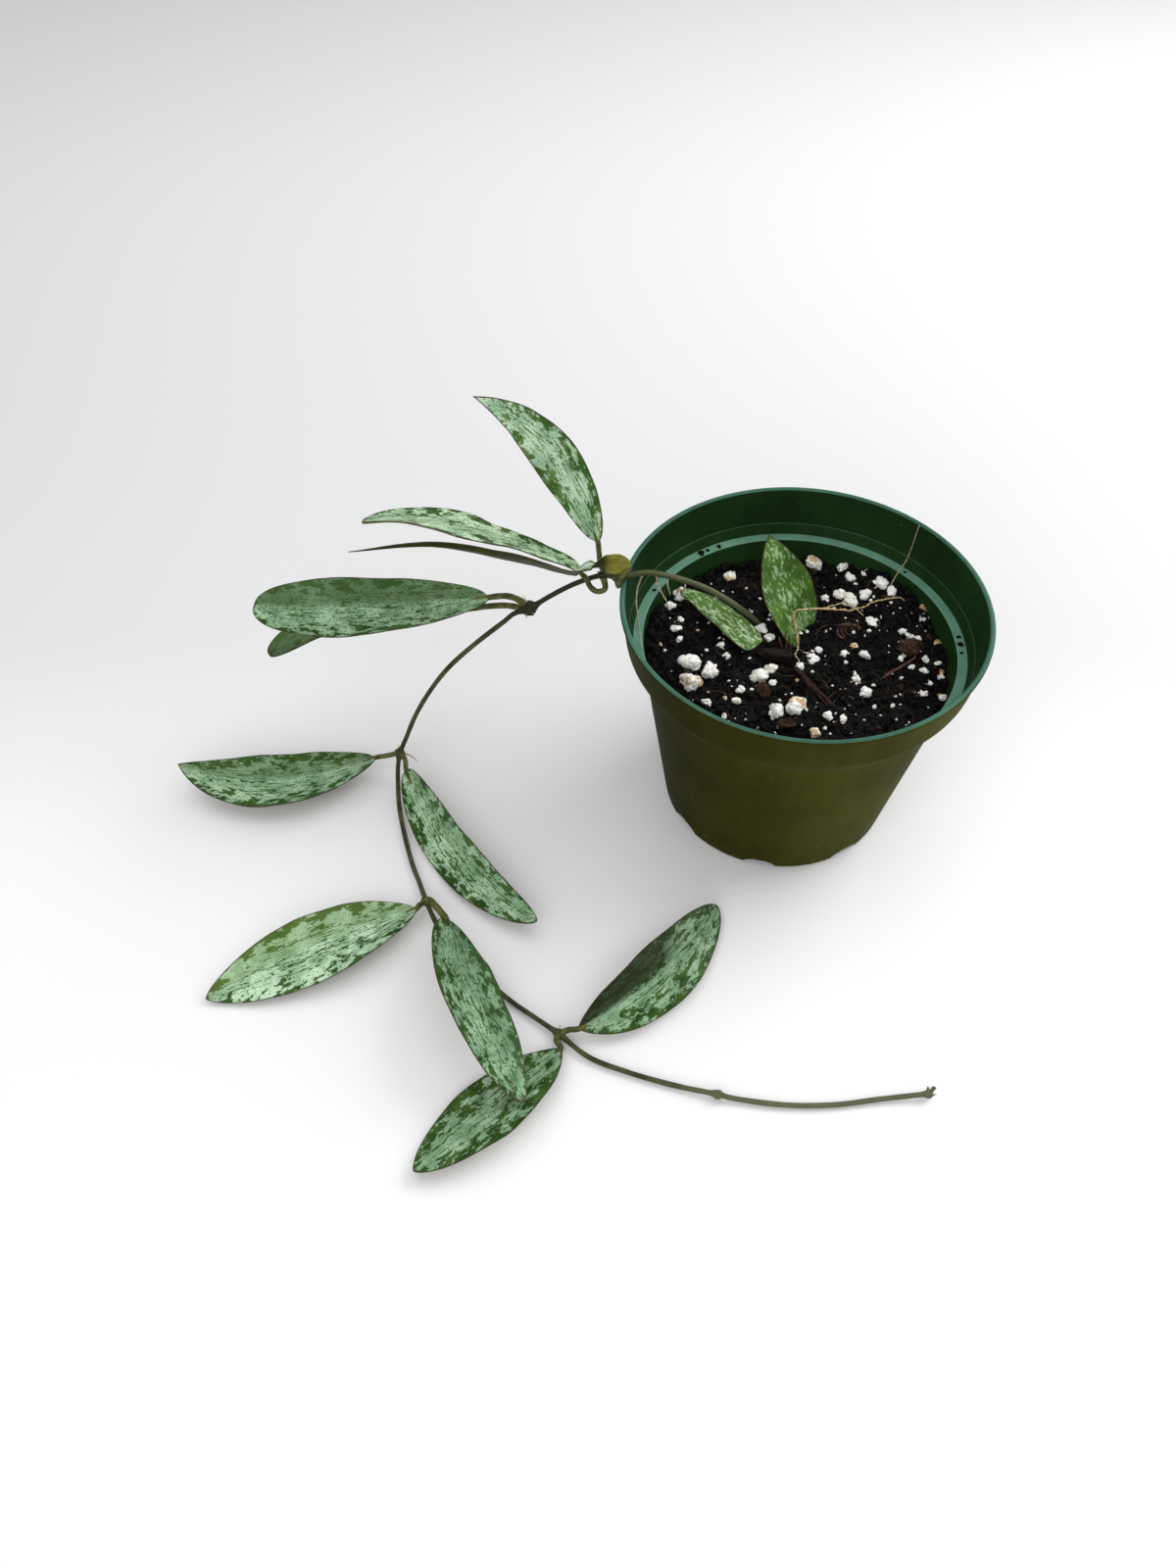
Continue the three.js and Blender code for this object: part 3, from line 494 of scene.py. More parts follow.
def leaf_upper_material(name, seed, green=0.5, lines=1.0, specks=0.7, glints=0.3,
                        silver=("86aa84", "b4d2b1"), leaf_green=("25430f", "446528"), shade=()):
    """Silver skin broken by ragged green patches and by fine lines that run with the blade.

    green: share of green patches; lines: how plain the fine lines near the midrib are; specks:
    green dots in the silver; glints: silver dots in the green; shade: painted light and shade on one
    half of the blade or both: the side of the midrib (1 or -1), its colour, how much of it, and how
    far it reaches along the leaf.
    """
    s = Shader(name, 0.13)
    flat = s.vector("ADD", s.map("flat", 100), (seed * 53.7, seed * 31.1, seed))
    fan = s.vector("ADD", s.map("fan", 100), (seed * 17.3, seed * 41.9, seed))
    along, across = (s.part(s.map("blade"), axis) for axis in (0, 1))
    aside = s.away(across, 0.5)

    ragged = s.warp(s.warp(s.stretch(flat, 0.45), 0.5, 0.7), 1.8, 0.26)
    blotch = s.plus(s.noise(ragged, 0.33, 6, 0.66), s.range(aside, 0.0, 0.5, 0.13, -0.05))
    limit = 0.365 + 0.26 * green
    patches = s.fall(blotch, limit - 0.003, limit + 0.003)
    speck_limit = 0.3 + 0.12 * specks
    spots = s.fall(s.noise(s.stretch(flat, 0.5), 1.5, 3, 0.6), speck_limit, speck_limit + 0.012)

    field = s.noise(s.stretch(s.warp(fan, 0.5, 0.3), 0.045, 0.8), 1.0, 2, 0.55)
    line = s.fall(s.away(field, 0.5), 0.026, 0.04)
    broken = s.step(s.noise(s.stretch(fan, 0.14, 0.9), 1.0, 3), 0.44, 0.47)
    spread = s.math("SUBTRACT", aside, s.times(s.math("SUBTRACT", 1.0, along), 0.16))
    near = s.fall(spread, 0.13, 0.26)
    line = s.times(s.times(line, broken), s.times(near, lines))
    is_green = s.math("MAXIMUM", s.math("MAXIMUM", patches, spots), line)

    cluster = s.range(s.noise(flat, 0.2, 2), 0.3, 0.7, -0.06, 0.06)
    sparks = s.plus(s.noise(s.stretch(flat, 0.38), 0.95, 4, 0.68), cluster)
    glint_limit = 0.74 - 0.2 * glints
    is_green = s.times(is_green, s.fall(sparks, glint_limit, glint_limit + 0.02))

    tone = s.step(s.noise(flat, 0.11, 3), 0.36, 0.64)
    fine = s.noise(flat, 2.6, 4, 0.6)
    silver_color = s.mix(s.range(fine, 0.35, 0.7, 0.0, 0.3), s.mix(tone, *silver), "6f9069")
    green_color = s.mix(s.range(fine, 0.35, 0.7, 0.0, 0.4), s.mix(tone, *leaf_green), "22380f")
    color = s.mix(is_green, silver_color, green_color)
    color = s.tint(color, s.fall(s.away(blotch, limit), 0.002, 0.012), 0.45, "1c3610")
    # Painted light and shade on one half of the blade.
    for side, over, amount, reach in shade:
        half = s.step(s.range(across, 0.5, 0.5 + 0.5 * side, 0.0, 1.0), 0.0, 0.3)
        color = s.tint(color, s.times(half, s.fall(along, reach - 0.15, reach + 0.15)), amount, over)
    color = s.tint(color, s.fall(s.part(s.map("edge", 100), 0), 0.2, 0.5), 0.85, "3c3426")
    color = s.tint(color, s.step(along, 0.975, 0.995), 0.8, "3a3216")
    s.set("Roughness", s.range(fine, 0.3, 0.7, 0.38, 0.52))
    return s.finish(color, is_green, 0.04, 0.6, after=s.bump(fine, 0.05, 0.5))


def leaf_under_material(name, tones, pale, shaded_from=None):
    """Olive underside with faint veins; shaded_from: share of the blade from which it is painted near
    black, as shade.
    """
    s = Shader(name, 0.25)
    flat = s.map("flat", 100)
    fine = s.noise(flat, 2.4, 3)
    color = s.mix(s.step(s.noise(flat, 0.12, 3), 0.35, 0.65), *tones)
    color = s.mix(s.range(fine, 0.35, 0.7, 0.0, 0.3), color, pale)
    veins = s.noise(s.stretch(s.map("fan", 100), 0.05), 1.3, 2)
    color = s.tint(color, s.step(veins, 0.55, 0.7), 0.4, "38360f")
    if shaded_from is not None:
        # Painted shade: near black from that share of the blade on.
        shaded_part = s.step(s.part(s.map("blade"), 0), shaded_from - 0.05, shaded_from + 0.05)
        color = s.tint(color, shaded_part, 0.92, "1d1d04")
    return s.finish(color, fine, 0.06, 0.5)


def pot_material(name, dark, light, roughness, dirt=0.0, painted_shade_left=0.0, sheen=0.07):
    """Moulded plastic: a fine pitted skin, faint upright streaks, pale and dark specks.

    dirt: how plain the dirt at the foot is; painted_shade_left: how much darker the side towards -X is
    painted, as shade on the side away from the light; sheen: strength of the reflection.
    """
    s = Shader(name, sheen)
    at = s.place()
    streaks = s.noise(s.stretch(at, 0.35, 0.35, 0.02), 0.6, 3)
    cloud = s.noise(at, 0.022, 5, 0.6)
    pits = s.noise(at, 1.5, 3, 0.6)
    tone = s.plus(s.times(streaks, 0.2), s.times(cloud, 0.8))
    color = s.mix(s.step(tone, 0.3, 0.7), dark, light)
    for scale, size, rarity, speck in ((0.14, 0.045, 0.48, "8f9a6c"), (0.3, 0.08, 0.54, "101206")):
        spot = s.fall(s.cells(at, scale), 0.5 * size, size)
        rare = s.step(s.noise(at, 0.05 + 0.1 * scale), rarity, rarity + 0.06)
        color = s.tint(color, s.times(spot, rare), 0.65, speck)
    # Painted shade: the side towards -X is darkened, as it faces away from the light.
    color = s.tint(color, s.fall(s.part(at, 0), -85.0, 62.0), painted_shade_left, "0c0c02")
    low = s.fall(s.part(at, 2), 1.5, 12.0)
    patchy = s.step(s.noise(at, 0.45, 5, 0.75), 0.55, 0.6)
    color = s.tint(color, s.times(low, patchy), dirt, "6a5734")
    s.set("Roughness", s.range(pits, 0.3, 0.7, roughness - 0.08, roughness + 0.1))
    return s.finish(color, pits, 0.05, 0.5)


def soil_material():
    s = Shader("mix_peat", 0.12)
    at = s.place()
    coarse = s.noise(at, 0.16, 4, 0.65)
    fine = s.noise(at, 0.9, 5, 0.72)
    color = s.mix(s.step(fine, 0.44, 0.64), "010101", "0d0b0b")
    color = s.tint(color, s.step(coarse, 0.6, 0.7), 0.4, "1f1815")
    s.set("Roughness", s.range(coarse, 0.3, 0.7, 0.45, 0.8))
    return s.finish(color, fine, 0.6, 0.9)


def rough_material(name, dark, light, scale, depth, stretch=(1, 1, 1), roughness=0.8, specular=0.2):
    """Two tones in noise, for bark, fibres, roots and twigs."""
    s = Shader(name, specular, roughness)
    tone = s.noise(s.stretch(s.place(), *stretch), scale, 5, 0.68)
    return s.finish(s.mix(s.step(tone, 0.4, 0.6), dark, light), tone, depth, 0.8)


def perlite_material(name, stain):
    """White puffed grains with painted shade, grey patches among the white and dark grey spots in the
    holes, and ochre stains in their creases.
    """
    s = Shader(name, 0.2, 0.8)
    at = s.place()
    pores_and_shade = s.noise(at, 1.3, 4, 0.7)
    # Painted shade: grey patches among the white, from the noise that also gives the relief.
    color = s.mix(s.step(pores_and_shade, 0.34, 0.5), "b9c4c4", "fbfbf6")
    # Painted shade: dark grey spots in the holes.
    color = s.tint(color, s.fall(s.cells(at, 0.75), 0.08, 0.17), 0.8, "6f7672")
    color = s.tint(color, s.step(s.noise(at, 0.16, 3), 0.45, 0.6), 0.35, "ded3b0")
    patches = s.step(s.noise(at, 0.28, 4, 0.6), 0.56 - 0.06 * stain, 0.6)
    return s.finish(s.tint(color, patches, stain, "c79c58"), pores_and_shade, 0.35, 0.9)


def stem_material():
    """Skin that goes from grey-green in the pot to near black between the first joints."""
    s = Shader("vine_skin", 0.22, 0.6)
    at = s.place()
    x, z = s.part(at, 0), s.part(at, 2)
    fine = s.noise(s.stretch(at, 0.6, 0.6, 0.6), 1.8, 4, 0.65)
    color = s.mix(s.step(s.noise(at, 0.12, 3), 0.4, 0.6), "2f371d", "49502f")
    color = s.tint(color, s.step(fine, 0.5, 0.64), 0.65, "1f1d10")
    color = s.tint(color, s.step(x, -70.0, -30.0), 0.55, "6d7257")
    first_joints = s.times(s.fall(x, -84.0, -76.0), s.step(z, 78.0, 96.0))
    return s.finish(s.tint(color, first_joints, 0.75, "26200e"), fine, 0.12, 0.7)


def stalk_material():
    s = Shader("leaf_stalk", 0.25)
    at = s.place()
    fine = s.noise(at, 2.0, 4, 0.65)
    color = s.mix(s.step(s.noise(at, 0.3, 3), 0.4, 0.6), "40431c", "5f5f2b")
    return s.finish(s.tint(color, s.step(fine, 0.52, 0.68), 0.5, "2d2812"), fine, 0.06, 0.6)


# --- Pot ---
# Section from the middle of the underside, round the outside, to the middle of the floor inside:
# radius, height and how far the corner is rounded.
POT_PROFILE = [
    (0, 0, 0), (FOOT_RADIUS - 1, 0, 0.6), (FOOT_RADIUS, 1, 0.6), (65.6, 85, 2.2), (73.2, 95.6, 2.6),
    (75.2, 111.4, 0.35), (RIM_RADIUS, 112.1, 0.4), (RIM_RADIUS, 113.6, 0.4), (75.5, POT_HEIGHT, 0.3),
    (74.7, POT_HEIGHT, 0.3), (74, 113.6, 0.3), (72.2, 97, 0.3), (71.7, 96.7, 0.3), (70, LEDGE_Z, 0.5),
    (LEDGE_INNER, LEDGE_Z, 0.5), (51.02, FLOOR, 1.2), (0, FLOOR, 0),
]
OUTSIDE_CORNERS = slice(1, 8)
POT_SIDES = 256
LIP_BOTTOM = 111.3
LIP_INNER = 73.9
NOTCHES = 8
FIRST_NOTCH = -58
NOTCH_HALF_WIDTH = 7.5
NOTCH_HEIGHT = 5
NOTCH_FROM = FOOT_RADIUS - 5
NOTCH_TO = FOOT_RADIUS + 7
NOTCH_SIDES = 32


def rounded(profile, steps=4):
    """The profile's points (radius, height) with each corner replaced by a small arc."""
    points = np.array(profile)[:, :2]
    out = [points[0]]
    for before, corner, after, (_, _, rounding) in zip(points, points[1:], points[2:], profile[1:]):
        reach = min(rounding, *(0.45 * np.linalg.norm(end - corner) for end in (before, after)))
        start, end = (corner + unit(end - corner) * reach for end in (before, after))
        out += [(1 - t) ** 2 * start + 2 * t * (1 - t) * corner + t ** 2 * end
                for t in np.linspace(0, 1, steps + 1)]
    return [*out, points[-1]]


def lathe(profile, sides):
    """A closed solid of revolution; the first and last points lie on the axis."""
    inner = profile[1:-1]
    angles = np.arange(sides) * 2 * math.pi / sides
    vertices = [(0, 0, profile[0][1])]
    for r, z in inner:
        vertices += [(r * math.cos(a), r * math.sin(a), z) for a in angles]
    vertices.append((0, 0, profile[-1][1]))
    top = 1 + (len(inner) - 1) * sides
    faces = []
    for j in range(sides):
        k = (j + 1) % sides
        faces.append((0, 1 + k, 1 + j))
        for low in range(1, top, sides):
            faces.append((low + j, low + k, low + sides + k, low + sides + j))
        faces.append((top + j, top + k, len(vertices) - 1))
    return np.array(vertices), faces


def notch_cutter(turn):
    """A bar of elliptical section that points outwards at an angle in radians."""
    ring = np.linspace(0, 2 * math.pi, NOTCH_SIDES, endpoint=False)
    aside, height = NOTCH_HALF_WIDTH * np.cos(ring), NOTCH_HEIGHT * np.sin(ring)
    ends = []
    for r in (NOTCH_FROM, NOTCH_TO):
        x = r * math.cos(turn) - aside * math.sin(turn)
        y = r * math.sin(turn) + aside * math.cos(turn)
        ends.append(np.stack([x, y, height], axis=1))
    pairs = [(j, (j + 1) % NOTCH_SIDES) for j in range(NOTCH_SIDES)]
    faces = [tuple(range(NOTCH_SIDES))[::-1], tuple(range(NOTCH_SIDES, 2 * NOTCH_SIDES))]
    faces += [(j, k, NOTCH_SIDES + k, NOTCH_SIDES + j) for j, k in pairs]
    return np.concatenate(ends), faces


def outer_radius(z):
    radii, heights, _ = zip(*POT_PROFILE[OUTSIDE_CORNERS])
    return np.interp(z, heights, radii)


def make_pot():
    """The turned wall with notches cut through its foot, in one plastic painted in four tones for light
    and shade: the inside darker as shade, the tops of the rim and the ledge lighter as lit from above.
    """
    blank, cutters = Shape(), Shape()
    blank.add(*lathe(rounded(POT_PROFILE), POT_SIDES))
    for i in range(NOTCHES):
        cutters.add(*notch_cutter(math.radians(FIRST_NOTCH + i * 360 / NOTCHES)))
    pot, cutter = (bpy.data.objects.new(name, mesh_from(name, shape, []))
                   for name, shape in (("pot_blank", blank), ("notch_cutters", cutters)))
    for item in (pot, cutter):
        bpy.context.scene.collection.objects.link(item)
    cut = pot.modifiers.new("notches", "BOOLEAN")
    cut.operation = "DIFFERENCE"
    cut.solver = "EXACT"
    cut.object = cutter
    mesh = bpy.data.meshes.new_from_object(pot.evaluated_get(bpy.context.evaluated_depsgraph_get()))
    for item in (pot, cutter):
        bpy.data.objects.remove(item)
    mesh.materials.clear()
    outside = pot_material("pot_outside", "353405", "47480b", 0.6, dirt=0.8, painted_shade_left=0.68, sheen=0.03)
    # One plastic: the inside is painted darker as shade, and the rim and ledge tops lighter as lit from
    # above.
    for material in (outside, pot_material("pot_inside_painted_shade", "142b10", "1f3c1b", 0.5),
                     pot_material("pot_rim_painted_light", "34594a", "4a7460", 0.42),
                     pot_material("pot_ledge_painted_light", "54806b", "709a86", 0.42)):
        mesh.materials.append(material)
    for face in mesh.polygons:
        face.use_smooth = True
        x, y, z = face.center / MM
        radius = math.hypot(x, y)
        if z > LIP_BOTTOM and radius > LIP_INNER and face.normal.z > 0.5:
            face.material_index = 2
        elif face.normal.z > 0.85 and z > LEDGE_Z - 2:
            face.material_index = 3
        elif radius < outer_radius(z) - 0.5 and z > 0.5:
            face.material_index = 1
    mesh.set_sharp_from_angle(angle=math.radians(35))
    place("pot_shell", mesh, "pot")


# --- Potting mix ---
MIX_GAP = 0.3
MIX_BOTTOM = 2.4
CRUMBS = 5200
WALL_CRUMBS = 220
FIBRES = 620
SMALL_GRAINS = 220


def inner_radius(z):
    share = (z - FLOOR) / (LEDGE_Z - FLOOR)
    return INNER_FOOT_RADIUS + share * (LEDGE_INNER - INNER_FOOT_RADIUS)


MIX_EDGE = inner_radius(SOIL_LEVEL)


def soil_height(x, y):
    """The smooth lie of the mix."""
    height = SOIL_LEVEL + 0.9 * np.sin(x * 0.31 + 1) * np.sin(y * 0.27 + 2)
    height = height + 0.6 * np.sin(x * 0.13 - y * 0.21)
    for heap_x, heap_y, spread, rise in SOIL_HEAPS:
        height = height + rise * np.exp(-((x - heap_x) ** 2 + (y - heap_y) ** 2) / spread ** 2)
    return height


def mix_height(x, y, relief=1.0):
    """The lie of the mix with a share of its crumb relief."""
    where = np.stack([x, y, np.zeros_like(x)], axis=1)
    crumbs = 1 - np.abs(value_noise(where, 3.1, 5)) * 2
    small = 1 - np.abs(value_noise(where, 1.4, 9)) * 2
    return soil_height(x, y) + relief * (1.3 * fractal_noise(where, 9.0, 2, 3) + 0.8 * crumbs + 0.45 * small)


def on_mix(x, y, lift=0.0):
    """The point at x, y that lies lift above the mix."""
    return np.array([x, y, mix_height(np.array([x]), np.array([y]), 0.6)[0] + lift])


def make_mix_body(peat):
    """Wall and bottom just inside the pot, and the lumpy top in rings from the wall to the middle."""
    rings, sides = 110, 420
    around = np.array([level(j * 2 * math.pi / sides) for j in range(sides)])
    edge = MIX_EDGE - MIX_GAP
    body = [around * (inner_radius(z) - MIX_GAP) + (0, 0, z) for z in (MIX_BOTTOM, 40.0)]
    for i in range(rings, 0, -1):
        x, y, _ = (around * edge * i / rings).T
        z = mix_height(x, y)
        fit = (inner_radius(z) - MIX_GAP) / edge if i == rings else 1.0
        body.append(np.stack([x * fit, y * fit, z], axis=1))
    middle = (0, 0, mix_height(np.zeros(1), np.zeros(1))[0])
    shape = Shape()
    shape.add(*tube(body, (0, 0, MIX_BOTTOM), middle))
    add_piece("mix_body", shape, [peat], "potting_mix")


def random_spot(draw, limit):
    angle = draw.uniform(0, 2 * math.pi)
    distance = limit * math.sqrt(draw.random())
    return distance * math.cos(angle), distance * math.sin(angle)


def draw_three(draw, *ranges):
    return np.array([draw.uniform(low, high) for low, high in ranges])


def make_crumbs(materials):
    """Loose crumbs of the mix, most of them small and black, some brown, and a few on the ledge."""
    draw = random.Random(SEED + 1)
    shape = Shape()
    edge = MIX_EDGE - 1.5
    for i in range(CRUMBS):
        x, y = random_spot(draw, edge)
        size = 0.9 + 2.4 * draw.random() ** 3
        scale = size * draw_three(draw, (0.7, 1.6), (0.6, 1.0), (0.5, 0.9))
        turn = draw_three(draw, (-0.6, 0.6), (-0.6, 0.6), (0, 6.3))
        kind = draw.choices((0, 1, 2), (0.82, 0.15, 0.03))[0]
        detail = 2 if size > 1.9 else 1
        shape.add(*rough_lump(on_mix(x, y, 0.18 * size), scale, i, detail, 0.6, turn, 0.7), kind)
    for i in range(WALL_CRUMBS):
        angle = draw.uniform(0, 2 * math.pi)
        x, y, _ = level(angle) * (edge + draw.uniform(-1.5, 0.6))
        size = draw.uniform(1.0, 3.0)
        at = (x, y, soil_height(x, y) + draw.uniform(0, 2.2))
        turn = (0, 0, draw.uniform(0, 6.3))
        kind = draw.choice((0, 0, 0, 1))
        shape.add(*rough_lump(at, (size * 1.3, size, size), i + 6000, 2, 0.5, turn), kind)
    for i, (degrees, size) in enumerate(LEDGE_CRUMBS):
        turn = math.radians(degrees)
        at = level(turn) * LEDGE_MIDDLE + (0, 0, LEDGE_Z + 0.2 * size)
        shape.add(*rough_lump(at, (size * 1.4, size, size * 0.7), i + 6400, 2, 0.5, (0, 0, turn)))
    add_piece("mix_crumbs", shape, materials, "potting_mix", smooth=False)


def make_fibres(materials):
    """Thin fibres that lie over the crumbs; those that would leave the mix are cut short."""
    draw = random.Random(SEED + 2)
    shape = Shape()
    edge = MIX_EDGE - 3
    for _ in range(FIBRES):
        x, y = random_spot(draw, edge)
        heading = draw.uniform(0, 2 * math.pi)
        length = draw.uniform(2.5, 12)
        bend = draw.uniform(-1.8, 1.8)
        points = []
        for t in (0, 0.25, 0.5, 0.75, 1):
            far_x, far_y, _ = (x, y, 0) + length * t * level(heading + bend * t)
            if math.hypot(far_x, far_y) > edge:
                break
            points.append(on_mix(far_x, far_y, 0.7 + 0.9 * math.sin(math.pi * t) * draw.random()))
        if len(points) < 3:
            continue
        radius = draw.choice((0.09, 0.11, 0.14, 0.2))
        path = curve_through(points, 3)
        kind = draw.choices((0, 1, 2), (0.55, 0.35, 0.1))[0]
        shape.add(*sweep(path, radius * np.linspace(1, 0.5, len(path)), 4), kind)
    add_piece("mix_fibres", shape, materials, "potting_mix")


def make_perlite(materials):
    """The grains that can be told apart, small ones strewn between them, and a few tan ones."""
    draw = random.Random(SEED + 3)
    shape = Shape()
    grains = [(x, y, 0.98 * d, int(i in STAINED)) for i, (x, y, d) in enumerate(GRAINS)]
    grains += [(x, y, d, 2) for x, y, d in TAN_GRAINS]
    wanted = len(grains) + SMALL_GRAINS
    while len(grains) < wanted:
        x, y = random_spot(draw, MIX_EDGE - 4)
        size = 0.8 + 1.5 * draw.random() ** 2
        if all(math.hypot(gx - x, gy - y) > (gd + size) / 2 + 0.6 for gx, gy, gd, _ in grains):
            grains.append((x, y, size, int(draw.random() < 0.1)))
    for i, (x, y, size, kind) in enumerate(grains):
        small = size < 2.4
        ground = on_mix(x, y)
        main = size * draw_three(draw, (0.88, 1.05), (0.7, 0.88), (0.55, 0.7))
        turn = draw_three(draw, (-0.4, 0.4), (-0.4, 0.4), (0, 6.3))
        rise = (0, 0, (0.5 if small else 0.24) * size)
        shape.add(*rough_lump(ground + rise, main, 300 + i, 2 if small else 4, 0.4, turn, 0.75), kind)
        for _ in range(2 if size > 5 else 1 if size > 3.4 else 0):
            angle = draw.uniform(0, 2 * math.pi)
            part = size * draw.uniform(0.5, 0.68)
            spot = ground + size * (0.3 * level(angle) + (0, 0, draw.uniform(0.12, 0.36)))
            shape.add(*rough_lump(spot, (part, part * 0.85, part * 0.8), 700 + i, 3, 0.38, turn), kind)
    add_piece("mix_perlite", shape, materials, "potting_mix")


# --- Leaves ---
BLADE_ROWS = 84
BLADE_COLUMNS = 30
# Grooves of the upper side: place across the blade from -1 to 1, and depth.
GROOVES = [(0.0, 0.26), (0.34, 0.12), (-0.34, 0.12), (0.66, 0.08), (-0.66, 0.08)]
LEAF_LOOKS = {
    "leaf_a1": dict(specks=0.6, glints=0.6, silver=("a8caa6", "d6ecd2"), leaf_green=("3b6022", "6b914c")),
    "leaf_a2": dict(green=0.46, specks=0.9, glints=0.5, silver=("9dbe97", "c8e0c0")),
    "leaf_a3": dict(specks=0.6, silver=("a3c3a0", "cfe3cb")),
    "leaf_b1": dict(green=0.42, lines=0.9, specks=1.0, silver=("7ea07c", "a9c8a8"),
                    shade=[(-1, "3a5629", 0.72, 1.2)]),
    # leaf_b2's silver is painted dark grey-green, as shade on the leaf.
    "leaf_b2": dict(lines=0.6, specks=0.9, silver=("3c4f31", "566a4a")),
    "leaf_c1": dict(shade=[(-1, "35521c", 0.5, 1.2)]),
    "leaf_c2": dict(specks=0.8, silver=("8aae86", "bad8b6"), shade=[(1, "5f7f55", 0.2, 1.2)]),
    "leaf_d1": dict(green=0.42, silver=("9ec29b", "cdeac9"), shade=[(-1, "67863a", 0.42, 1.2)]),
    "leaf_d2": dict(specks=0.9, silver=("799e7a", "a3c5a3"), shade=[(1, "43643f", 0.3, 1.2)]),
    "leaf_e1": dict(green=0.6, glints=0.6, silver=("7b9d79", "a3c1a1"), shade=[(1, "1e2708", 0.93, 0.66)]),
    "leaf_e2": dict(green=0.62, glints=0.6, silver=("7fa27d", "a8c6a6")),
    "pot_leaf_standing": dict(green=1.1, lines=0.0, specks=0.3, glints=0.85, silver=("86a878", "a2c08e"),
                              leaf_green=("3c5c1e", "547a2d")),
    "pot_leaf_lying": dict(green=1.0, lines=0.0, specks=0.3, glints=1.0, silver=("92b084", "bdd2a8"),
                           leaf_green=("45682a", "5f843a")),
}


def midrib_points(leaf, shares):
    """Midrib positions at shares of the curve's parameter from 0 to 1."""
    base, tip = np.array(leaf["base"], float), np.array(leaf["tip"], float)
    if "through" in leaf:
        dense = curve_through([base, *leaf["through"], tip], 60)
        return read_off(shares, np.linspace(0, 1, len(dense)), dense)
    middle = (base + tip) / 2 + leaf["bow"]
    t = shares[:, None]
    return (1 - t) ** 2 * base + 2 * t * (1 - t) * middle + t ** 2 * tip


def leaf_rows(leaf, shares):
    """Midrib point, sideways and upward directions, and half width for each share."""
    low, high = np.clip(shares - 0.004, 0, 1), np.clip(shares + 0.004, 0, 1)
    along = unit(midrib_points(leaf, high) - midrib_points(leaf, low))
    flat = unit(np.cross([0, 0, 1], along))
    upright = np.cross(along, flat)
    roll = np.radians(np.interp(shares, np.linspace(0, 1, len(leaf["roll"])), leaf["roll"]))[:, None]
    sideways = flat * np.cos(roll) + upright * np.sin(roll)
    peak = leaf["root"] / (leaf["root"] + leaf["point"])
    half = leaf["half"] * (shares / peak) ** leaf["root"] * ((1 - shares) / (1 - peak)) ** leaf["point"]
    return midrib_points(leaf, shares), sideways, np.cross(along, sideways), half


def blade_faces():
    """Faces of the upper grid, the lower grid and the two rims; kind 0 above and 1 below."""
    width = BLADE_COLUMNS + 1
    size = (BLADE_ROWS + 1) * width
    faces, kinds = [], []
    for a in range(0, size - width, width):
        for top in range(a, a + BLADE_COLUMNS):
            low = size + top
            faces += [(top, top + width, top + width + 1, top + 1),
                      (low, low + 1, low + width + 1, low + width)]
            kinds += [0, 1]
        b = a + BLADE_COLUMNS
        left = 2 * size + a // width
        right = left + BLADE_ROWS + 1
        faces += [(a, left, left + 1, a + width), (left, size + a, size + a + width, left + 1),
                  (b, b + width, right + 1, right), (right, right + 1, size + b + width, size + b)]
        kinds += [0, 1, 0, 1]
    for row in (0, BLADE_ROWS):
        a = row * width
        left = 2 * size + row
        lower = range(size + a, size + a + width)
        end = [left, *range(a, a + width), left + BLADE_ROWS + 1, *lower[::-1]]
        faces.append(end[::-1] if row else end)
        kinds.append(1)
    return faces, kinds


def stalk_bar(name, leaf, seed):
    """The stalk: from the middle of the joint into the root of the blade."""
    inside = np.array([0.04, 0.09])
    middle, _, up, _ = leaf_rows(leaf, inside)
    sunk = middle - up * [[0.35], [0.5]]
    path = even_path([JOINTS[leaf["joint"]][0], *leaf["stalk"], leaf["base"], *sunk], 0.8)
    share = np.linspace(0, 1, len(path))
    radius = STALK_RADII.get(name, 1.24) - 0.1 * share + 0.3 * np.exp(-(share / 0.12) ** 2)
    radius = radius * (1 - 0.75 * smooth_step(0.78, 1.0, share))
    return sweep(path, radius * (1 + 0.05 * value_noise(path, 1.5, seed)), 12)


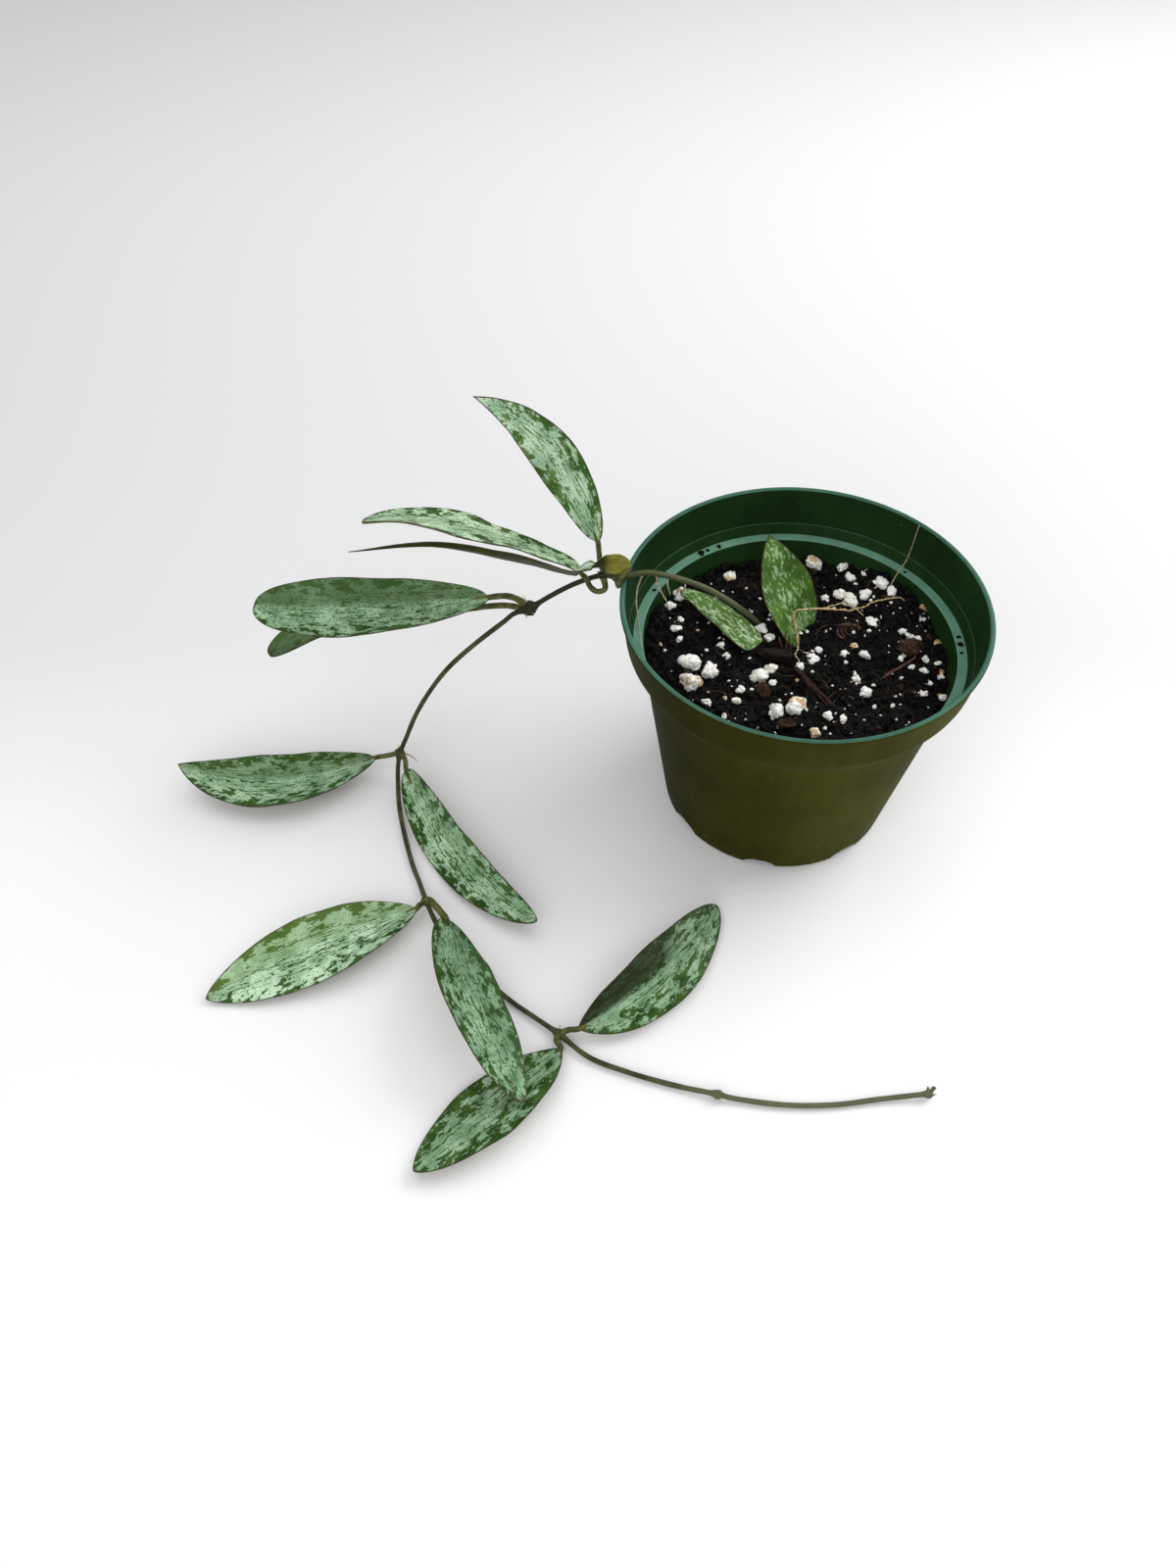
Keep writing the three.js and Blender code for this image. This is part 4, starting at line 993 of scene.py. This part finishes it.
def make_leaf(name, leaf, materials, seed):
    """A cupped, wavy blade with grooves and a midrib, and its stalk."""
    shares = 0.5 - 0.5 * np.cos(np.pi * np.arange(BLADE_ROWS + 1) / BLADE_ROWS)
    columns = np.sin(np.pi / 2 * np.linspace(-1, 1, BLADE_COLUMNS + 1))
    middle, sideways, up, half = leaf_rows(leaf, shares)
    share, across = np.meshgrid(shares, columns, indexing="ij")
    along = np.broadcast_to(lengths_along(middle)[:, None], share.shape)
    half = np.broadcast_to(np.maximum(half, 0.12)[:, None], share.shape)
    aside = across * half
    inward = np.sin(np.pi * share)

    def noise(size, at_side, number):
        places = np.stack([along, at_side, np.zeros_like(share)], axis=-1).reshape(-1, 3)
        return value_noise(places, size, number).reshape(share.shape)

    reach = half + 0.25 * noise(7.0, np.sign(across) * 30, seed) * inward
    wave = np.sin(share * WAVES_PER_LEAF * 2 * np.pi + 2 * across) * across ** 2
    lift = leaf["cup"] * half * across ** 2 + (LEAF_WAVE * wave + 0.3 * noise(9.0, aside, seed + 1)) * inward
    groove = sum(depth * np.exp(-((across - center) * half / 0.55) ** 2) for center, depth in GROOVES)
    rib = 0.5 * np.exp(-aside ** 2) * (1 - share) ** 0.8
    thickness = EDGE_THICKNESS + (BLADE_THICKNESS - EDGE_THICKNESS) * (1 - across ** 4)
    thickness = thickness * np.clip(half / 2.5, 0.35, 1)

    def skin(offset, widen=0.0):
        return (middle[:, None] + sideways[:, None] * (across * (reach + widen))[..., None]
                + up[:, None] * (lift + offset)[..., None])

    def in_order(top, bottom, rim):
        """Values for the vertices: upper grid, lower grid, left rim, right rim."""
        size = top.shape[-1]
        return np.concatenate([top.reshape(-1, size), bottom.reshape(-1, size), rim[:, 0], rim[:, -1]])

    shape = Shape()
    shape.add(in_order(skin(thickness / 2 - groove * (1 - share) ** 0.6), skin(-thickness / 2 - rib),
                       skin(0.0, 0.12)), *blade_faces())
    if leaf["joint"]:
        shape.add(*stalk_bar(name, leaf, seed), 2)
    mesh = mesh_from(name, shape, materials)
    loops = np.zeros(len(mesh.loops), dtype=np.int32)
    mesh.loops.foreach_get("vertex_index", loops)
    margin = (1 - np.abs(across)) * half
    maps = {
        "flat": (along / 100, aside / 100),
        "fan": (along / 100, across * leaf["half"] / 100),
        "blade": (share, (across + 1) / 2),
        "edge": (margin / 100, margin / 100),
    }
    for key, pair in maps.items():
        grid = np.stack(pair, axis=-1)
        values = np.zeros((shape.count, 2))
        blade = in_order(grid, grid, grid)
        values[:len(blade)] = blade
        mesh.uv_layers.new(name=key).data.foreach_set("uv", values[loops].ravel())
    place(name.replace("leaf", "blade", 1), mesh, name)


def make_leaves():
    under = leaf_under_material("leaf_underside", ("42400f", "626020"), "6c6a34")
    # leaf_a3's underside is painted lighter olive near its root, as lit, and near black further out, as
    # shade.
    under_a3 = leaf_under_material("leaf_a3_underside_lit_and_shaded", ("706d1c", "989538"), "a5a25a", shaded_from=0.23)
    stalk = stalk_material()
    for i, (name, leaf) in enumerate(LEAVES.items()):
        upper = leaf_upper_material(f"{name}_upper", i + 1, **LEAF_LOOKS[name])
        make_leaf(name, leaf, [upper, under_a3 if name == "leaf_a3" else under, stalk], 40 + 3 * i)


# --- Vine, roots and loose pieces ---
END_BUD = [JOINTS["g"][0], (46.8, -162, 4.2), (47.9, -161.2, 5.2)]
# Side rootlets: number of the root's point where each starts, and how far it goes.
ROOTLETS = [(5, (2, 3, -1.5)), (9, (3, -3, -1.6)), (10, (4, 3, -1))]
# Bark and fibre: middle, size, turn and tilt in degrees.
CHUNKS = {
    "bark_log": ((-9.5, -1.5, 85.6), (17, 5.5, 5), -8, 4),
    "bark_red": ((-16, -21, 84.5), (5.5, 8.5, 3), 10, -12),
    "bark_brown": ((-9, -42, 86.8), (8, 5, 2.6), 15, 8),
    "fibre_lump": ((49.5, 4, 84.6), (9, 8, 5), 30, 0),
}
STRIP_MIDDLE = (5, -20, 84.9)
STRIP_HEADING = math.radians(-59)
STRIP_LENGTH = 26
TWIG_MIDDLE = (42, -9, 85.2)
TWIG_HEADING = math.radians(36)
TWIG_LENGTH = 19.6
CURL_MIDDLE = (24.7, 14.8)
# Turns of the curled shaving: radius and thickness.
CURL_TURNS = [(5.0, 0.75), (3.4, 0.6), (1.9, 0.55)]


def make_vine(skin, root_skin):
    """Stem, swollen joints with bumps and bracts, aerial roots and the end bud."""
    shape = Shape()
    joints = [(np.array(at), r) for at, r in JOINTS.values()]
    for points, thick in ((STEM_IN_POT, 1.25), *((stretch, 1.08) for stretch in STEM_STRETCHES)):
        path = even_path(points, 0.9)
        radius = thick * (1 + 0.06 * value_noise(path, 5.0, 3))
        for center, r in joints:
            distance = np.linalg.norm(path - center, axis=1)
            radius = radius + max(0, 0.86 * r - thick) * np.exp(-(distance / (0.9 * r)) ** 2)
        above_floor = np.maximum(0.9, path[:, 2] - 0.15)
        shape.add(*sweep(path, np.minimum(radius, above_floor), 14))
    for i, (center, r) in enumerate(joints):
        shape.add(*rough_lump(center, (2.0 * r, 1.9 * r, 1.8 * r), 60 + i, 3, 0.2, (0, 0, i), 0.9))
    draw = random.Random(SEED + 4)
    for center, r in joints:
        for _ in range(5):
            out = unit(level(draw.uniform(0, 2 * math.pi), draw.uniform(-0.1, 0.8)))
            tip = center + out * (r + draw.uniform(0.2, 1.3))
            bump = [center + 0.4 * r * out, (center + tip) / 2 + out * 0.4, tip]
            shape.add(*sweep(bump, [0.8, 0.6, 0.15], 7))
    for joint, degrees, rise, length in BRACTS:
        out = unit(level(math.radians(degrees), rise))
        center, r = JOINTS[joint]
        path = even_path([center + out * 0.5 * r, center + out * (r + 0.5 * length) + (0, 0, 0.15 * length),
                          center + out * (r + length)], 0.4)
        shape.add(*sweep(path, np.linspace(0.42, 0.1, len(path)), 7), 1)
    for k, root in enumerate(AERIAL_ROOTS):
        path = even_path(root, 0.7)
        path = path + 0.25 * wander(path, 3.0, 80 + k, 9)
        shape.add(*sweep(path, np.linspace(0.45, 0.19, len(path)), 8), 1)
    shape.add(*sweep(even_path(END_BUD, 0.4), 0.75, 8))
    add_piece("vine", shape, [skin, root_skin], "vine_stem")


def make_roots():
    """The tan root with its branch and rootlets, the pale roots on the mix, and the hair root."""
    tan = rough_material("root_skin", "8a7048", "cdb68a", 0.9, 0.1, roughness=0.65)
    pale = rough_material("pale_root_skin", "a08e70", "dccfb2", 0.9, 0.08, roughness=0.65)
    grey = rough_material("hair_root_skin", "7f7156", "b3a487", 0.9, 0.05, roughness=0.65)
    shape = Shape()
    shape.add(*wobbly(SURFACE_ROOT, 0.5, 0.54, 21, wandering=0.6, uneven=0.35))
    shape.add(*wobbly(ROOT_BRANCH, 0.5, 0.42, 22, wandering=0.45, uneven=0.3))
    for k, (at, aside) in enumerate(ROOTLETS):
        start = np.array(SURFACE_ROOT[at])
        shape.add(*wobbly([start, start + 0.5 * np.array(aside), start + aside], 0.5, 0.28, 25 + k))
    add_piece("surface_root_skin", shape, [tan], "surface_root")
    shape = Shape()
    for k, route in enumerate(PALE_ROOTS):
        shape.add(*wobbly([on_mix(*point) for point in route], 0.5, 0.42, 30 + k, wandering=0.3, uneven=0.35))
    add_piece("pale_roots", shape, [pale], "surface_root")
    shape = Shape()
    shape.add(*wobbly(ROOT_HAIR, 0.6, 0.34, 23, sides=7, wandering=0.12, taper=0.3))
    add_piece("root_hair_skin", shape, [grey], "root_hair")


def chunk(at, size, turn, tilt, seed, roughness):
    """A torn, fibrous chunk of bark."""
    sphere, faces = SPHERES[4]
    boxy = np.sign(sphere) * np.abs(sphere) ** 0.62
    grooves = value_noise(boxy * [0.5, 3.0, 3.0], 0.6, seed)
    lumps = fractal_noise(boxy, 0.9, 3, seed + 5)
    shaped = boxy * (1 + roughness * lumps + 0.1 * grooves)[:, None] * (np.array(size) / 2.3)
    rotation = Matrix.Rotation(math.radians(turn), 3, "Z") @ Matrix.Rotation(math.radians(tilt), 3, "Y")
    return shaped @ np.array(rotation).T + np.array(at), faces


def make_chunks(draw, materials):
    """The chunks of bark and fibre, with torn threads that lie on them."""
    for i, (name, (at, size, turn, tilt)) in enumerate(CHUNKS.items()):
        threads, spread, roughness = (34, 3.1, 0.42) if name == "fibre_lump" else (9, 0.25, 0.24)
        shape = Shape()
        shape.add(*chunk(at, size, turn, tilt, 90 + i, roughness))
        for _ in range(threads):
            heading = math.radians(turn) + draw.uniform(-1, 1) * spread
            out = level(heading) * draw.uniform(0.35, 0.6) * size[0]
            start = at + np.array([draw.uniform(-0.3, 0.3), draw.uniform(-0.3, 0.3), 0.34]) * size
            path = [start, start + 0.5 * out + (0, 0, 0.6), start + out - (0, 0, 0.9)]
            shape.add(*wobbly(path, 0.6, 0.2, 120 + i, sides=5))
        add_piece(f"{name}_torn", shape, [materials[name]], name)


def make_strip(draw):
    """The strip of bark, torn into fibres along its length."""
    shape = Shape()
    for k in range(6):
        aside = draw.uniform(-1.1, 1.1) * level(STRIP_HEADING + math.pi / 2)
        points = []
        for t in np.linspace(-0.5, 0.5, 6):
            along = STRIP_LENGTH * t * draw.uniform(0.9, 1.0) * level(STRIP_HEADING)
            ragged = draw_three(draw, (-0.4, 0.4), (-0.4, 0.4), (-0.2, 0.2))
            points.append(STRIP_MIDDLE + along + aside + ragged + (0, 0, 0.14 * k - 0.8 * t))
        shape.add(*sweep(curve_through(points, 6), draw.uniform(0.35, 0.8), 7, squash=0.6))
    dark = rough_material("bark_dark_strip", "140b08", "38221a", 0.8, 0.3)
    add_piece("bark_strip_torn", shape, [dark], "bark_strip")


def make_twig(wood):
    points = [TWIG_MIDDLE + TWIG_LENGTH / 2 * t * level(TWIG_HEADING) + (0.5 * math.sin(3 * t), 0, 0.9 * t)
              for t in np.linspace(-1, 1, 7)]
    shape = Shape()
    shape.add(*wobbly(points, 0.5, 0.75, 97, wandering=0.2, taper=0.45))
    add_piece("twig_wood", shape, [wood], "twig")


def make_curl(fibre, wood):
    """A curled shaving of bark, and the thin stubs in front of the standing leaf's foot."""
    shape = Shape()
    center = on_mix(*CURL_MIDDLE, 0.9)
    for k, (radius, thick) in enumerate(CURL_TURNS):
        ring = [center + (radius * math.cos(a), 0.8 * radius * math.sin(a), 0.9 * math.sin(a) + 0.3 * k)
                for a in np.linspace(0.3 + k, 5.6 + k, 22)]
        shape.add(*wobbly(ring, 0.5, thick, 140 + k, sides=7, taper=0.5), int(k == 0))
    for k, (x, y, lean_x, lean_y, height) in enumerate(STUBS):
        foot = on_mix(x, y, -1)
        route = [foot, foot + (0.5 * lean_x, 0.5 * lean_y, 0.55 * height), foot + (lean_x, lean_y, height)]
        shape.add(*wobbly(route, 0.5, 0.55, 150 + k, sides=7), 1)
    add_piece("bark_curl", shape, [fibre, wood], "potting_mix")


def make_bits():
    fibre = rough_material("fibre_brown", "1d130d", "523a2b", 0.9, 0.5)
    wood = rough_material("twig_wood", "35241a", "654a39", 0.9, 0.2)
    draw = random.Random(SEED + 5)
    make_chunks(draw, {
        "bark_log": rough_material("bark_black", "060403", "1f140e", 0.8, 0.5, (0.35, 1.6, 1.6)),
        "bark_red": rough_material("bark_reddish", "1d0e0a", "4d2b20", 0.7, 0.5, (1.8, 0.35, 1.6)),
        "bark_brown": rough_material("bark_dull_brown", "1c110b", "442d1e", 0.6, 0.4),
        "fibre_lump": fibre,
    })
    make_strip(draw)
    make_twig(wood)
    make_curl(fibre, wood)


# --- Floor, light and camera, in metres ---
# Painted light on the floor: whiter in front, greyest in a band just behind the pot, grey further back.
FLOOR_FRONT = (0.93, 0.93, 0.93, 1)
FLOOR_MIDDLE = (0.73, 0.73, 0.73, 1)
FLOOR_BACK = (0.8, 0.8, 0.8, 1)
FLOOR_REACH = 6.0
FLOOR_HEIGHT = -0.0002
LIT_PLACE = (-0.06, -0.03, 0.05)
# Round lamps: place, width and power.
LAMPS = {
    "window": ((0.9, 0.45, 0.8), 1.1, 12.0),
    "overhead": ((-0.1, 0.25, 1.3), 1.8, 7.0),
    "front_fill": ((-0.5, -1.2, 0.9), 1.4, 9.0),
}
CAMERA_PLACE = (-0.0891, -0.3732, 0.4559)
CAMERA_TILT = 39.09


def make_floor():
    """A pale floor with painted light: whiter in front, greyest in a band just behind the pot where the
    lamps light it most, and grey further back.
    """
    mesh = bpy.data.meshes.new("floor")
    corners = [(x * FLOOR_REACH, y * FLOOR_REACH, 0) for x, y in ((-1, -1), (1, -1), (1, 1), (-1, 1))]
    mesh.from_pydata(corners, [], [(0, 1, 2, 3)])
    s = Shader("floor_pale", 0.05, 0.9)
    back = s.part(s.place(), 1)
    color = s.mix(s.step(back, -90, 110), FLOOR_FRONT, FLOOR_MIDDLE)
    s.set("Base Color", s.mix(s.step(back, 200, 700), color, FLOOR_BACK))
    mesh.materials.append(s.material)
    floor = bpy.data.objects.new("floor", mesh)
    bpy.context.scene.collection.objects.link(floor)
    floor.location.z = FLOOR_HEIGHT


def make_studio():
    """Standard view, a pale even backdrop and three round lamps."""
    scene = bpy.context.scene
    scene.view_settings.view_transform = "Standard"
    scene.world = bpy.data.worlds.new("studio")
    scene.world.use_nodes = True
    backdrop = scene.world.node_tree.nodes["Background"]
    backdrop.inputs["Color"].default_value = (0.97, 0.98, 1.0, 1)
    backdrop.inputs["Strength"].default_value = 0.42
    for name, (at, width, power) in LAMPS.items():
        data = bpy.data.lights.new(name, "AREA")
        data.shape = "DISK"
        data.size = width
        data.energy = power
        lamp = bpy.data.objects.new(name, data)
        scene.collection.objects.link(lamp)
        lamp.location = at
        lamp.rotation_euler = (Vector(LIT_PLACE) - Vector(at)).to_track_quat("-Z", "Y").to_euler()


def make_camera():
    data = bpy.data.cameras.new("view")
    data.lens = 28.125
    data.sensor_width = 36
    data.clip_start = 0.01
    camera = bpy.data.objects.new("view", data)
    camera.location = CAMERA_PLACE
    camera.rotation_euler = (math.radians(CAMERA_TILT), 0, 0)
    bpy.context.scene.collection.objects.link(camera)
    bpy.context.scene.camera = camera


make_camera()
make_studio()
make_floor()
make_pot()
peat = soil_material()
make_mix_body(peat)
make_crumbs([
    peat,
    rough_material("mix_brown", "070505", "1d1512", 0.9, 0.3, specular=0.12),
    rough_material("mix_light_brown", "1d1512", "43332a", 0.9, 0.3, specular=0.12),
])
make_fibres([
    rough_material("fibre_dark", "0b0806", "231914", 1.2, 0.05),
    rough_material("fibre_mid", "2c2019", "493829", 1.2, 0.05),
    rough_material("fibre_tan", "4d3d2c", "6f5c43", 1.2, 0.05),
])
make_perlite([
    perlite_material("perlite_white", 0.06),
    perlite_material("perlite_stained", 0.85),
    rough_material("perlite_tan", "8a6a3c", "d3b988", 0.6, 0.3),
])
make_leaves()
make_vine(stem_material(), rough_material("aerial_root_skin", "8d7f66", "cbbda2", 0.8, 0.06))
make_roots()
make_bits()
